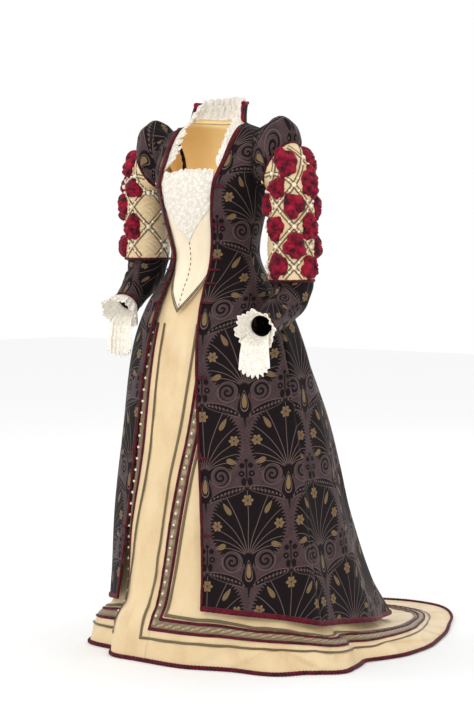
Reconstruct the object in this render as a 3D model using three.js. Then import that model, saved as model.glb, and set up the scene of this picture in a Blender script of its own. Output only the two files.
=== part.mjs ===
import * as THREE from 'three';

// Tudor dress on its wearer's form: an open velvet robe over a satin dress with a train.
// Millimetres. The wearer faces -Y, her left is +X, up is +Z, and the floor is at -SHOULDER_HEIGHT.

// Driving dimensions
const SHOULDER_HEIGHT = 1330;
const VELVET = 2.5;
const SILK = 1.5;
const LACE = 1.4;
const BRAID = 1.6;
const SEAM_GAP = 0.3;
const LAYER_GAP = 0.4;
const HEM_BAND_HEIGHT = 15;
const EDGE_BAND_WIDTH = 12;
const TRIM_WIDTH = 30;
const PUFF_HEIGHT = 21;
const PUFF_RIM = 5;
const SLEEVE_COLUMNS = 16;
const YOKE_STEPS = 8;
const FRONT_COLUMNS = 7;
const BACK_COLUMNS = 12;
const CUFF_COLUMNS = 32;
const CUFF_WAVES = 8;

// Shoulder slope: how far the neck side stands above the shoulder tip
const SHOULDER_RISE = 52;
const SHOULDER_RISE_START = 1225;

// Armhole: an ellipse in a plane across X
const ARMHOLE = { y: 8, z: 1262, depth: 52, height: 72 };

// Neckline: an ellipse seen from above
const NECK = { side: 84, back: 78 };

// Robe sections, from the hem up. Heights are those at the front, rear is the height at centre back.
const ROBE_SECTIONS = [
  { height: 143, rear: 40, side: 330, front: 222, back: 600, square: 2 },
  { height: 158, rear: 60, side: 328, front: 221, back: 585, square: 2 },
  { height: 220, rear: 150, side: 318, front: 214, back: 507, square: 2 },
  { height: 360, rear: 330, side: 300, front: 205, back: 420, square: 2 },
  { height: 480, rear: 470, side: 283, front: 199, back: 368, square: 2 },
  { height: 600, rear: 600, side: 264, front: 193, back: 320, square: 2 },
  { height: 700, rear: 700, side: 250, front: 187, back: 270, square: 2 },
  { height: 800, rear: 800, side: 230, front: 175, back: 224, square: 2 },
  { height: 880, rear: 880, side: 199, front: 154, back: 192, square: 2 },
  { height: 940, rear: 940, side: 162, front: 129, back: 155, square: 2 },
  { height: 970, rear: 970, side: 140, front: 112, back: 131, square: 2 },
  { height: 1000, rear: 1000, side: 126, front: 102, back: 115, square: 2 },
  { height: 1030, rear: 1030, side: 121, front: 102, back: 108, square: 2 },
  { height: 1060, rear: 1060, side: 122, front: 109, back: 107, square: 2.05 },
  { height: 1100, rear: 1100, side: 130, front: 120, back: 110, square: 2.1 },
  { height: 1150, rear: 1150, side: 142, front: 129, back: 117, square: 2.2 },
  { height: 1200, rear: 1200, side: 152, front: 129, back: 122, square: 2.4 },
  { height: 1230, rear: 1230, side: 159, front: 112, back: 121, square: 2.7 },
  { height: 1262, rear: 1262, side: 165, front: 84, back: 114, square: 3.1 },
  { height: 1290, rear: 1290, side: 168, front: 64, back: 99, square: 3.6 },
  { height: 1313, rear: 1313, side: 169, front: 44, back: 72, square: 4 },
  { height: 1328, rear: 1328, side: 169, front: 24, back: 40, square: 4 },
  { height: 1334, rear: 1334, side: 169, front: 0.3, back: 0.3, square: 4 },
];

// Satin skirt sections, from the hem up
const SKIRT_SECTIONS = [
  { height: 0, rear: 3, side: 408, front: 247, back: 950, square: 2 },
  { height: 13, rear: 5, side: 402, front: 245, back: 936, square: 2 },
  { height: 50, rear: 9, side: 388, front: 241, back: 885, square: 2 },
  { height: 83, rear: 13, side: 370, front: 235, back: 812, square: 2 },
  { height: 113, rear: 19, side: 345, front: 226, back: 735, square: 2 },
  { height: 143, rear: 26, side: 316, front: 212, back: 578, square: 2 },
  { height: 220, rear: 112, side: 292, front: 200, back: 468, square: 2 },
  { height: 360, rear: 310, side: 274, front: 193, back: 392, square: 2 },
  { height: 520, rear: 505, side: 252, front: 184, back: 322, square: 2 },
  { height: 700, rear: 695, side: 230, front: 175, back: 244, square: 2 },
  { height: 850, rear: 850, side: 188, front: 148, back: 186, square: 2 },
  { height: 940, rear: 940, side: 145.8, front: 115.8, back: 139, square: 2 },
  { height: 991, rear: 991, side: 119.3, front: 93.8, back: 109, square: 2 },
];

// The shoulder seam lies a little behind the middle
const SHOULDER_SEAM = 8;

// The train swings to the wearer's right, and the hem as a whole to her left
const TRAIN_SWING = 80;
const HEM_SHIFT = 35;
const SWING_START = 420;

// Folds: angle from the front towards the wearer's left, depth outwards, half width and the height where each ends
const ROBE_FOLDS = [
  { angle: 40, depth: 7, width: 10, top: 760 },
  { angle: 62, depth: -6, width: 8, top: 700 },
  { angle: 84, depth: 9, width: 8, top: 860 },
  { angle: 100, depth: -8, width: 6, top: 990 },
  { angle: 114, depth: 12, width: 7, top: 940 },
  { angle: 131, depth: -9, width: 7, top: 900 },
  { angle: 148, depth: 13, width: 7, top: 960 },
  { angle: 165, depth: -9, width: 7, top: 930 },
  { angle: 180, depth: 12, width: 7, top: 960 },
  { angle: 196, depth: -9, width: 7, top: 900 },
  { angle: 213, depth: 12, width: 7, top: 950 },
  { angle: 230, depth: -9, width: 7, top: 920 },
  { angle: 247, depth: 12, width: 7, top: 930 },
  { angle: 261, depth: -8, width: 6, top: 990 },
  { angle: 278, depth: 9, width: 8, top: 840 },
  { angle: 298, depth: -8, width: 9, top: 720 },
];
const SKIRT_FOLDS = [
  { angle: -24, depth: 14, width: 8, top: 900 },
  { angle: -41, depth: -30, width: 9, top: 420 },
  { angle: -60, depth: 9, width: 8, top: 140 },
  { angle: -82, depth: -13, width: 8, top: 140 },
  { angle: -104, depth: 12, width: 8, top: 140 },
  { angle: -128, depth: -12, width: 8, top: 140 },
  { angle: -156, depth: 12, width: 9, top: 140 },
  { angle: 8, depth: 4, width: 8, top: 140 },
  { angle: 27, depth: -18, width: 10, top: 140 },
  { angle: 46, depth: 15, width: 9, top: 140 },
  { angle: 62, depth: -9, width: 7, top: 140 },
  { angle: 80, depth: 12, width: 8, top: 140 },
  { angle: 97, depth: -26, width: 6, top: 140 },
  { angle: 112, depth: 15, width: 8, top: 140 },
  { angle: 138, depth: -12, width: 9, top: 140 },
  { angle: 164, depth: 10, width: 10, top: 140 },
];

// Front edges of the robe and seams of the satin front panel: distance from the middle at each height
const ROBE_EDGES = [
  { height: 143, left: 128, right: 172 },
  { height: 360, left: 112, right: 135 },
  { height: 600, left: 92, right: 104 },
  { height: 800, left: 76, right: 80 },
  { height: 900, left: 66, right: 68 },
  { height: 1000, left: 57, right: 59 },
  { height: 1100, left: 70, right: 70 },
  { height: 1200, left: 81, right: 81 },
  { height: 1262, left: 84, right: 84 },
  { height: 1334, left: 84, right: 84 },
];
const FRONT_PANEL_SEAMS = [
  { height: 0, left: -30, right: 186 },
  { height: 143, left: -14, right: 166 },
  { height: 280, left: 5, right: 132 },
  { height: 460, left: 34, right: 96 },
  { height: 650, left: 70, right: 76 },
  { height: 850, left: 82, right: 68 },
  { height: 985, left: 66, right: 62 },
];

// Bodice: lower edge at the centre and at the side, and the upper edge under the lace
const BODICE = { point: 878, side: 992, pointShare: 0.37, top: 1232, sideAngle: 84, ease: 3.6, rows: 10, halfColumns: 7 };

const finish = (color, roughness) => new THREE.MeshStandardMaterial({ color, roughness, metalness: 0 });
const VELVET_DARK = 0x3a2a30;
const CRIMSON = 0xa01030;
const BURGUNDY = 0x6e0d2a;
const CREAM = 0xecd9b6;
const GOLD = 0x8a7a48;
const LINING = 0xe6bf86;
const IVORY = 0xebe5da;

const dress = new THREE.Group();
dress.position.z = -SHOULDER_HEIGHT;

function addPiece(name, geometry, color, roughness) {
  const mesh = new THREE.Mesh(geometry, finish(color, roughness));
  mesh.name = name;
  dress.add(mesh);
}

// Reads one column of a table at a height, by a smooth curve through its rows
function readTable(rows, column, height) {
  const last = rows.length - 1;
  const clamped = THREE.MathUtils.clamp(height, rows[0].height, rows[last].height);
  let k = 0;
  while (k < last - 1 && rows[k + 1].height < clamped) k += 1;
  const slope = (i) => {
    const low = Math.max(i - 1, 0);
    const high = Math.min(i + 1, last);
    return (rows[high][column] - rows[low][column]) / (rows[high].height - rows[low].height);
  };
  const span = rows[k + 1].height - rows[k].height;
  const t = (clamped - rows[k].height) / span;
  const a = 2 * t ** 3 - 3 * t ** 2 + 1;
  const b = t ** 3 - 2 * t ** 2 + t;
  const c = t ** 3 - t ** 2;
  return a * rows[k][column] + b * span * slope(k) + (1 - a) * rows[k + 1][column] + c * span * slope(k + 1);
}

function foldDepth(folds, angle, height) {
  const degrees = THREE.MathUtils.radToDeg(angle);
  let depth = 0;
  for (const fold of folds) {
    const away = THREE.MathUtils.euclideanModulo(degrees - fold.angle + 180, 360) - 180;
    const strength = THREE.MathUtils.clamp(1 - height / fold.top, 0, 1) ** 0.7;
    depth += fold.depth * strength * Math.exp(-((away / fold.width) ** 2));
  }
  return depth;
}

// A point of the robe's or skirt's outer face: angle 0 is centre front, a quarter turn is the wearer's left side
function surfacePoint(cloth, angle, height) {
  const s = Math.sin(angle);
  const c = Math.cos(angle);
  const side = readTable(cloth.sections, 'side', height);
  const depth = readTable(cloth.sections, c > 0 ? 'front' : 'back', height);
  const fold = foldDepth(cloth.folds, angle, height);
  const low = Math.max(1 - height / SWING_START, 0) ** 2;
  const square = readTable(cloth.sections, 'square', height);
  const corner = (Math.abs(s) ** square + Math.abs(c) ** square) ** (-1 / square);
  const x = (side + fold) * s * corner;
  const toSeam = THREE.MathUtils.smoothstep(height, ARMHOLE.z, ARMHOLE.z + ARMHOLE.height);
  const y = SHOULDER_SEAM * toSeam - (depth + fold) * c * corner;
  const toRear = ((1 - c) / 2) ** 1.3;
  const swing = y > 0 ? TRAIN_SWING * low * (y / 950) ** 2 : 0;
  const rise = THREE.MathUtils.smoothstep(height, SHOULDER_RISE_START, 1334);
  const slope = SHOULDER_RISE * rise * (1 - Math.abs(s) * corner);
  const z = THREE.MathUtils.lerp(height, readTable(cloth.sections, 'rear', height), toRear) + slope;
  return new THREE.Vector3(x + HEM_SHIFT * low - swing, y, z);
}

function surfaceNormal(cloth, angle, height) {
  const da = 0.01;
  const dh = 1;
  const across = surfacePoint(cloth, angle + da, height).sub(surfacePoint(cloth, angle - da, height));
  const up = surfacePoint(cloth, angle, height + dh).sub(surfacePoint(cloth, angle, height - dh));
  return across.cross(up).normalize();
}

// The angle from the front at which a cloth reaches a distance from the middle, to the left (sign 1) or right (-1)
function angleOfX(cloth, x, height, sign) {
  const side = readTable(cloth.sections, 'side', height);
  const shift = HEM_SHIFT * Math.max(1 - height / SWING_START, 0) ** 2;
  return Math.asin(THREE.MathUtils.clamp((x - sign * shift) / side, -1, 1));
}

// A grid of points with outward normals, row by row
class ClothGrid {
  constructor(rows, columns, sample, closed = false) {
    this.rows = rows;
    this.columns = columns;
    this.closed = closed;
    this.points = [];
    this.normals = [];
    for (let i = 0; i < rows; i += 1) {
      for (let j = 0; j < columns; j += 1) {
        const { point, normal } = sample(i, j);
        this.points.push(point);
        this.normals.push(normal);
      }
    }
    if (!this.normals[0]) this.averageNormals();
  }

  index(i, j) {
    return i * this.columns + (this.closed ? THREE.MathUtils.euclideanModulo(j, this.columns) : j);
  }

  // Normals from the neighbouring points, for grids that are not worked out from a section table
  averageNormals() {
    for (let i = 0; i < this.rows; i += 1) {
      for (let j = 0; j < this.columns; j += 1) {
        const before = this.closed ? j - 1 : Math.max(j - 1, 0);
        const after = this.closed ? j + 1 : Math.min(j + 1, this.columns - 1);
        const across = this.points[this.index(i, after)].clone().sub(this.points[this.index(i, before)]);
        const above = this.points[this.index(Math.min(i + 1, this.rows - 1), j)].clone();
        const up = above.sub(this.points[this.index(Math.max(i - 1, 0), j)]);
        this.normals[this.index(i, j)] = across.cross(up).normalize();
      }
    }
  }

  // The two triangles of one cell, wound so that they face outwards
  cell(i, j) {
    const a = this.index(i, j);
    const b = this.index(i, j + 1);
    const c = this.index(i + 1, j + 1);
    const d = this.index(i + 1, j);
    return [[a, b, c], [a, c, d]];
  }

  cells(i0, i1, j0, j1, keep = () => true) {
    const triangles = [];
    for (let i = i0; i < i1; i += 1) {
      for (let j = j0; j < j1; j += 1) {
        if (keep(i, j)) triangles.push(...this.cell(i, j));
      }
    }
    return triangles;
  }
}

// Moves the border points of a range of cells inwards by half a seam gap
function seamShift(grid, i0, i1, j0, j1, sides) {
  const moved = new Map();
  const pull = (i, j, ni, nj) => {
    const from = grid.points[grid.index(i, j)];
    const to = grid.points[grid.index(ni, nj)];
    const step = to.clone().sub(from);
    const key = grid.index(i, j);
    if (ni === i) {
      const above = grid.points[grid.index(Math.min(i + 1, i1), j)].clone();
      const along = above.sub(grid.points[grid.index(Math.max(i - 1, i0), j)]).normalize();
      step.addScaledVector(along, -step.dot(along));
    }
    const shift = step.setLength(SEAM_GAP / 2);
    moved.set(key, (moved.get(key) ?? new THREE.Vector3()).add(shift));
  };
  for (let i = i0; i <= i1; i += 1) {
    if (sides.includes('start')) pull(i, j0, i, j0 + 1);
    if (sides.includes('end')) pull(i, j1, i, j1 - 1);
  }
  for (let j = j0; j <= j1; j += 1) {
    if (sides.includes('bottom')) pull(i0, j, i0 + 1, j);
    if (sides.includes('top')) pull(i1, j, i1 - 1, j);
  }
  return moved;
}

// A closed wall over a set of a grid's triangles, between two distances from the grid's face
function wall(grid, triangles, inner, outer, moved = new Map()) {
  const innerAt = typeof inner === 'function' ? inner : () => inner;
  const outerAt = typeof outer === 'function' ? outer : () => outer;
  const slots = new Map();
  const positions = [];
  const faces = [];
  const slot = (key) => {
    if (!slots.has(key)) {
      slots.set(key, positions.length / 3);
      const shift = moved.get(key) ?? new THREE.Vector3();
      for (const distance of [outerAt(key), innerAt(key)]) {
        const point = grid.points[key].clone().add(shift).addScaledVector(grid.normals[key], distance);
        positions.push(point.x, point.y, point.z);
      }
    }
    return slots.get(key);
  };
  const borders = new Map();
  for (const [a, b, c] of triangles) {
    faces.push(slot(a), slot(b), slot(c), slot(a) + 1, slot(c) + 1, slot(b) + 1);
    for (const [from, to] of [[a, b], [b, c], [c, a]]) {
      const reverse = `${to},${from}`;
      if (borders.has(reverse)) borders.delete(reverse);
      else borders.set(`${from},${to}`, [from, to]);
    }
  }
  for (const [from, to] of borders.values()) {
    const a = slot(from);
    const b = slot(to);
    faces.push(a, a + 1, b + 1, a, b + 1, b);
  }
  const geometry = new THREE.BufferGeometry();
  geometry.setAttribute('position', new THREE.Float32BufferAttribute(positions, 3));
  geometry.setIndex(faces);
  geometry.computeVertexNormals();
  return geometry;
}

const robeCloth = { sections: ROBE_SECTIONS, folds: ROBE_FOLDS };
const skirtCloth = { sections: SKIRT_SECTIONS, folds: SKIRT_FOLDS };
const lerp = THREE.MathUtils.lerp;
const QUARTER = Math.PI / 2;

// Robe rows: skirt and bodice up to the armpit, then rows that share the armhole's points
const ARMPIT = ARMHOLE.z - ARMHOLE.height;
const ROBE_HEM = ROBE_SECTIONS[0].height;
const NECK_START = Math.round((BACK_COLUMNS * 2) / 3);
const LOWER_HEIGHTS = [ROBE_HEM, ROBE_HEM + HEM_BAND_HEIGHT, 220, 330, 450, 580, 700, 800, 875, 930];
const LINING_START = 1110;
const BODY_HEIGHTS = [...LOWER_HEIGHTS, 965, 1000, 1030, 1070, LINING_START, 1150];
const armholeHeight = (k) => ARMHOLE.z - ARMHOLE.height * Math.cos((Math.PI * k) / YOKE_STEPS);
const YOKE_HEIGHTS = Array.from({ length: YOKE_STEPS + 1 }, (_, k) => armholeHeight(k));
const ROBE_HEIGHTS = [...BODY_HEIGHTS, ...YOKE_HEIGHTS];
const YOKE_ROW = BODY_HEIGHTS.length;
const ROBE_ROWS = ROBE_HEIGHTS.length;

// The angle of the armhole's edge at a height, on the front (side -1) or the back (side 1)
function armholeAngle(height, side) {
  const reach = Math.sqrt(Math.max(1 - ((height - ARMHOLE.z) / ARMHOLE.height) ** 2, 0));
  if (height <= ARMPIT || reach < 0.01) return QUARTER;
  const y = ARMHOLE.y + side * ARMHOLE.depth * reach;
  let low = side < 0 ? 0.1 : QUARTER;
  let high = side < 0 ? QUARTER : Math.PI - 0.1;
  for (let step = 0; step < 30; step += 1) {
    const middle = (low + high) / 2;
    if (surfacePoint(robeCloth, middle, height).y < y) low = middle;
    else high = middle;
  }
  return low;
}

// The angle at which the back is as wide as the neck, for the column that ends at the neck's corner
function neckColumnAngle(height) {
  let low = QUARTER;
  let high = Math.PI;
  for (let step = 0; step < 30; step += 1) {
    const middle = (low + high) / 2;
    if (surfacePoint(robeCloth, middle, height).x > NECK.side + 1) low = middle;
    else high = middle;
  }
  return low;
}

// Back columns run evenly from the side seam to the centre, and above the armpit also even out at the neck's corner
function backAngle(column, height) {
  const start = armholeAngle(height, 1);
  const even = lerp(start, Math.PI, column / BACK_COLUMNS);
  const corner = neckColumnAngle(height);
  const toNeck = column <= NECK_START
    ? lerp(start, corner, column / NECK_START)
    : lerp(corner, Math.PI, (column - NECK_START) / (BACK_COLUMNS - NECK_START));
  return lerp(even, toNeck, THREE.MathUtils.smoothstep(height, ARMPIT, ARMHOLE.z));
}

// Robe columns on one side of the body: the edge band, the front, then the back to its centre
const SIDE_COLUMNS = FRONT_COLUMNS + BACK_COLUMNS;
function robeAngle(column, height, edge) {
  const sign = edge === 'left' ? 1 : -1;
  const edgeAngle = angleOfX(robeCloth, readTable(ROBE_EDGES, edge, height), height, sign);
  const bandAngle = edgeAngle + EDGE_BAND_WIDTH / readTable(ROBE_SECTIONS, 'side', height);
  if (column === 0) return edgeAngle;
  if (column <= FRONT_COLUMNS) {
    return lerp(bandAngle, armholeAngle(height, -1), (column - 1) / (FRONT_COLUMNS - 1));
  }
  return backAngle(column - FRONT_COLUMNS, height);
}

// The yoke's back columns stop at the neckline
function neckHeight(column, edge) {
  const outside = (height) => {
    const p = surfacePoint(robeCloth, robeAngle(column, height, edge), height);
    return (p.x / NECK.side) ** 2 + (p.y / NECK.back) ** 2 >= 1;
  };
  const tip = ROBE_HEIGHTS[ROBE_ROWS - 1];
  if (outside(tip)) return tip;
  let low = YOKE_HEIGHTS[0];
  let high = tip;
  for (let step = 0; step < 24; step += 1) {
    const middle = (low + high) / 2;
    if (outside(middle)) low = middle;
    else high = middle;
  }
  return low;
}

// Walls meet upright at the shoulder seam
function robeNormal(i, angle, height) {
  const atSeam = i === ROBE_ROWS - 1 && height > ROBE_HEIGHTS[i] - 0.1;
  return atSeam ? new THREE.Vector3(0, 0, 1) : surfaceNormal(robeCloth, angle, height);
}

function robeSample(i, column, mirrored) {
  const edge = mirrored ? 'right' : 'left';
  let height = ROBE_HEIGHTS[i];
  if (i > YOKE_ROW && column > FRONT_COLUMNS) {
    const share = (height - YOKE_HEIGHTS[0]) / (YOKE_HEIGHTS[YOKE_STEPS] - YOKE_HEIGHTS[0]);
    height = lerp(YOKE_HEIGHTS[0], neckHeight(column, edge), share);
  }
  const sign = mirrored ? -1 : 1;
  const angle = sign * robeAngle(column, height, edge);
  return { point: surfacePoint(robeCloth, angle, height), normal: robeNormal(i, angle, height) };
}

// Front grids run from the front edge to the side seam, the back grid from one side seam to the other
const frontLeft = new ClothGrid(ROBE_ROWS, FRONT_COLUMNS + 1, (i, j) => robeSample(i, j, false));
const frontRight = new ClothGrid(ROBE_ROWS, FRONT_COLUMNS + 1, (i, j) => robeSample(i, FRONT_COLUMNS - j, true));
const backHeightAngle = (i, j) => {
  const mirrored = j > BACK_COLUMNS;
  const column = mirrored ? SIDE_COLUMNS + BACK_COLUMNS - j : FRONT_COLUMNS + j;
  return { column, mirrored };
};
const robeBack = new ClothGrid(ROBE_ROWS, 2 * BACK_COLUMNS + 1, (i, j) => {
  const { column, mirrored } = backHeightAngle(i, j);
  if (column > FRONT_COLUMNS) return robeSample(i, column, mirrored);
  const height = ROBE_HEIGHTS[i];
  const angle = (mirrored ? -1 : 1) * armholeAngle(height, 1);
  return { point: surfacePoint(robeCloth, angle, height), normal: robeNormal(i, angle, height) };
});

function robePanels() {
  const top = ROBE_ROWS - 1;
  const panels = [
    { name: 'robe_front_left', grid: frontLeft, from: 0, to: FRONT_COLUMNS, sides: ['end', 'top'] },
    { name: 'robe_front_right', grid: frontRight, from: 0, to: FRONT_COLUMNS, sides: ['start', 'top'] },
    { name: 'robe_back_left', grid: robeBack, from: 0, to: BACK_COLUMNS, sides: ['start', 'end', 'top'] },
    {
      name: 'robe_back_right',
      grid: robeBack,
      from: BACK_COLUMNS,
      to: 2 * BACK_COLUMNS,
      sides: ['start', 'end', 'top'],
    },
  ];
  for (const { name, grid, from, to, sides } of panels) {
    const moved = seamShift(grid, 0, top, from, to, sides);
    addPiece(name, wall(grid, grid.cells(0, top, from, to), -VELVET, 0, moved), VELVET_DARK, 0.9);
  }
}

// Crimson edges of the fronts and the hem band, laid on the robe
function robeBands() {
  const top = ROBE_ROWS - 2;
  const roll = LAYER_GAP + 3.5;
  const leftEdge = frontLeft.cells(1, top, 0, 1);
  addPiece('robe_edge_left', wall(frontLeft, leftEdge, LAYER_GAP, roll), BURGUNDY, 0.85);
  const rightEdge = frontRight.cells(1, top, FRONT_COLUMNS - 1, FRONT_COLUMNS);
  addPiece('robe_edge_right', wall(frontRight, rightEdge, LAYER_GAP, roll), BURGUNDY, 0.85);
  const columns = 2 * SIDE_COLUMNS + 1;
  const band = new ClothGrid(2, columns, (i, j) => {
    const mirrored = j > SIDE_COLUMNS;
    const column = mirrored ? 2 * SIDE_COLUMNS - j : j;
    const height = ROBE_HEIGHTS[i];
    const angle = (mirrored ? -1 : 1) * robeAngle(column, height, mirrored ? 'right' : 'left');
    return { point: surfacePoint(robeCloth, angle, height), normal: surfaceNormal(robeCloth, angle, height) };
  });
  const lowered = seamShift(band, 0, 1, 0, columns - 1, ['top']);
  addPiece('robe_hem_band', wall(band, band.cells(0, 1, 0, columns - 1), LAYER_GAP, roll, lowered), CRIMSON, 0.85);
}

// Golden silk lining of the robe's back, seen at the open neck
function backLining() {
  const cells = robeBack.cells(ROBE_HEIGHTS.indexOf(LINING_START), ROBE_ROWS - 1, 0, 2 * BACK_COLUMNS);
  const outer = -VELVET - LAYER_GAP;
  addPiece('robe_back_lining', wall(robeBack, cells, outer - SILK, outer), LINING, 0.5);
}

// Bodice of the dress, under the robe, pointed at the centre front
const BODICE_COLUMNS = 2 * BODICE.halfColumns + 1;
const bodiceSpread = (height) => {
  const limit = THREE.MathUtils.degToRad(BODICE.sideAngle);
  return Math.min(limit, armholeAngle(height, -1) - THREE.MathUtils.degToRad(3));
};
const bodice = new ClothGrid(BODICE.rows + 1, BODICE_COLUMNS, (i, j) => {
  const share = j / BODICE.halfColumns - 1;
  const low = lerp(BODICE.point, BODICE.side, Math.min(Math.abs(share) / BODICE.pointShare, 1));
  const braidTop = low + 9;
  const height = i < 2 ? lerp(low, braidTop, i) : lerp(braidTop, BODICE.top, (i - 1) / (BODICE.rows - 1));
  const angle = share * bodiceSpread(height);
  const normal = surfaceNormal(robeCloth, angle, height);
  const point = surfacePoint(robeCloth, angle, height).addScaledVector(normal, -VELVET - BODICE.ease);
  return { point, normal };
});

function bodicePieces() {
  const middle = BODICE.halfColumns;
  const end = BODICE_COLUMNS - 1;
  const rightShift = seamShift(bodice, 0, BODICE.rows, 0, middle, ['end']);
  const leftShift = seamShift(bodice, 0, BODICE.rows, middle, end, ['start']);
  const right = bodice.cells(0, BODICE.rows, 0, middle);
  const left = bodice.cells(0, BODICE.rows, middle, end);
  addPiece('bodice_front_right', wall(bodice, right, -SILK, 0, rightShift), CREAM, 0.45);
  addPiece('bodice_front_left', wall(bodice, left, -SILK, 0, leftShift), CREAM, 0.45);
  const inOpening = (j) => Math.abs(j + 0.5 - middle) < 3;
  const laceReach = (i, j) => inOpening(j) && i >= BODICE.rows - 4 + Math.abs(j + 0.5 - middle);
  const lace = bodice.cells(2, BODICE.rows, 0, end, laceReach);
  addPiece('lace_plastron', wall(bodice, lace, LAYER_GAP, LAYER_GAP + LACE), IVORY, 0.9);
  const braid = bodice.cells(0, 1, 0, end, (i, j) => inOpening(j));
  addPiece('waist_braid', wall(bodice, braid, LAYER_GAP, LAYER_GAP + BRAID), GOLD, 0.6);
}

// Skirt of the dress: columns run from the front panel's right seam to its left seam, then round the back
const SKIRT_HEIGHTS = [0, 13, 50, 83, 113, 143, 240, 420, 640, 850, 940, 991];
const PANEL_COLUMNS = 8;
const SIDE_PANEL_COLUMNS = 13;
const TRAIN_COLUMNS = 16;
const SIDE_SEAM = THREE.MathUtils.degToRad(123);
const SKIRT_COLUMNS = PANEL_COLUMNS + 2 * SIDE_PANEL_COLUMNS + TRAIN_COLUMNS;
const LEFT_START = PANEL_COLUMNS;
const TRAIN_START = LEFT_START + SIDE_PANEL_COLUMNS;
const RIGHT_START = TRAIN_START + TRAIN_COLUMNS;

// Column 0 of a side panel is the trim, the others share the rest as far as the side seam
function sidePanelAngle(column, height, side) {
  const sign = side === 'left' ? 1 : -1;
  const seam = angleOfX(skirtCloth, readTable(FRONT_PANEL_SEAMS, side, height), height, sign);
  const trim = seam + TRIM_WIDTH / readTable(SKIRT_SECTIONS, 'side', height);
  if (column === 0) return seam;
  return lerp(trim, SIDE_SEAM, (column - 1) / (SIDE_PANEL_COLUMNS - 1));
}

function skirtAngle(j, height) {
  if (j < LEFT_START) {
    const right = -sidePanelAngle(0, height, 'right');
    return lerp(right, sidePanelAngle(0, height, 'left'), j / PANEL_COLUMNS);
  }
  if (j <= TRAIN_START) return sidePanelAngle(j - LEFT_START, height, 'left');
  if (j < RIGHT_START) return lerp(SIDE_SEAM, 2 * Math.PI - SIDE_SEAM, (j - TRAIN_START) / TRAIN_COLUMNS);
  return 2 * Math.PI - sidePanelAngle(SKIRT_COLUMNS - j, height, 'right');
}

const skirt = new ClothGrid(SKIRT_HEIGHTS.length, SKIRT_COLUMNS, (i, j) => {
  const height = SKIRT_HEIGHTS[i];
  const angle = skirtAngle(j, height);
  return { point: surfacePoint(skirtCloth, angle, height), normal: surfaceNormal(skirtCloth, angle, height) };
}, true);

function skirtPieces() {
  const top = SKIRT_HEIGHTS.length - 1;
  const panels = [
    { name: 'skirt_front_panel', from: 0, to: LEFT_START },
    { name: 'skirt_left', from: LEFT_START, to: TRAIN_START },
    { name: 'skirt_train', from: TRAIN_START, to: RIGHT_START },
    { name: 'skirt_right', from: RIGHT_START, to: SKIRT_COLUMNS },
  ];
  for (const { name, from, to } of panels) {
    const moved = seamShift(skirt, 0, top, from, to, ['start', 'end']);
    addPiece(name, wall(skirt, skirt.cells(0, top, from, to), -SILK, 0, moved), CREAM, 0.4);
  }
  const trimRow = SKIRT_HEIGHTS.indexOf(83);
  const trimTop = SKIRT_HEIGHTS.indexOf(850);
  const onTrim = (i, j) => i === trimRow || j === LEFT_START || j === SKIRT_COLUMNS - 1;
  const trim = skirt.cells(trimRow, trimTop, LEFT_START, SKIRT_COLUMNS, onTrim);
  addPiece('skirt_trim', wall(skirt, trim, LAYER_GAP, LAYER_GAP + BRAID), GOLD, 0.6);
  const piping = skirt.cells(0, 1, 0, SKIRT_COLUMNS);
  addPiece('hem_piping', wall(skirt, piping, LAYER_GAP, LAYER_GAP + 4.6), BURGUNDY, 0.85);
}

// Standing collar on the back neckline, its crimson edge, and the lace frill inside it
const COLLAR_COLUMNS = 2 * (BACK_COLUMNS - NECK_START);
const COLLAR = { height: 44, rise: 6, backLean: 10, narrowing: 0.066, edge: 8 };
const COLLAR_SHARES = [0, 0.5, 1, 1 + COLLAR.edge / COLLAR.height];
const neckPoint = (j) => robeBack.points[robeBack.index(ROBE_ROWS - 1, NECK_START + j)];
const collarPoint = (share, j) => {
  const base = neckPoint(j).clone().add(new THREE.Vector3(0, 0, LAYER_GAP));
  const toBack = Math.sin((Math.PI * j) / COLLAR_COLUMNS);
  const tall = (COLLAR.height + COLLAR.rise * toBack) * share;
  const lean = COLLAR.backLean * share ** 1.5;
  return base.add(new THREE.Vector3(-COLLAR.narrowing * base.x * share, lean, tall));
};
const collar = new ClothGrid(COLLAR_SHARES.length, COLLAR_COLUMNS + 1, (i, j) => {
  return { point: collarPoint(COLLAR_SHARES[i], j), normal: null };
});

function collarPieces() {
  const last = COLLAR_SHARES.length - 1;
  const shiftDown = seamShift(collar, 0, last - 1, 0, COLLAR_COLUMNS, ['top']);
  const stand = collar.cells(0, last - 1, 0, COLLAR_COLUMNS);
  addPiece('collar', wall(collar, stand, -VELVET, 0, shiftDown), VELVET_DARK, 0.9);
  const shiftUp = seamShift(collar, last - 1, last, 0, COLLAR_COLUMNS, ['bottom']);
  const edge = collar.cells(last - 1, last, 0, COLLAR_COLUMNS);
  addPiece('collar_edge', wall(collar, edge, -VELVET - 1.5, 1.5, shiftUp), CRIMSON, 0.85);
}

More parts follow.
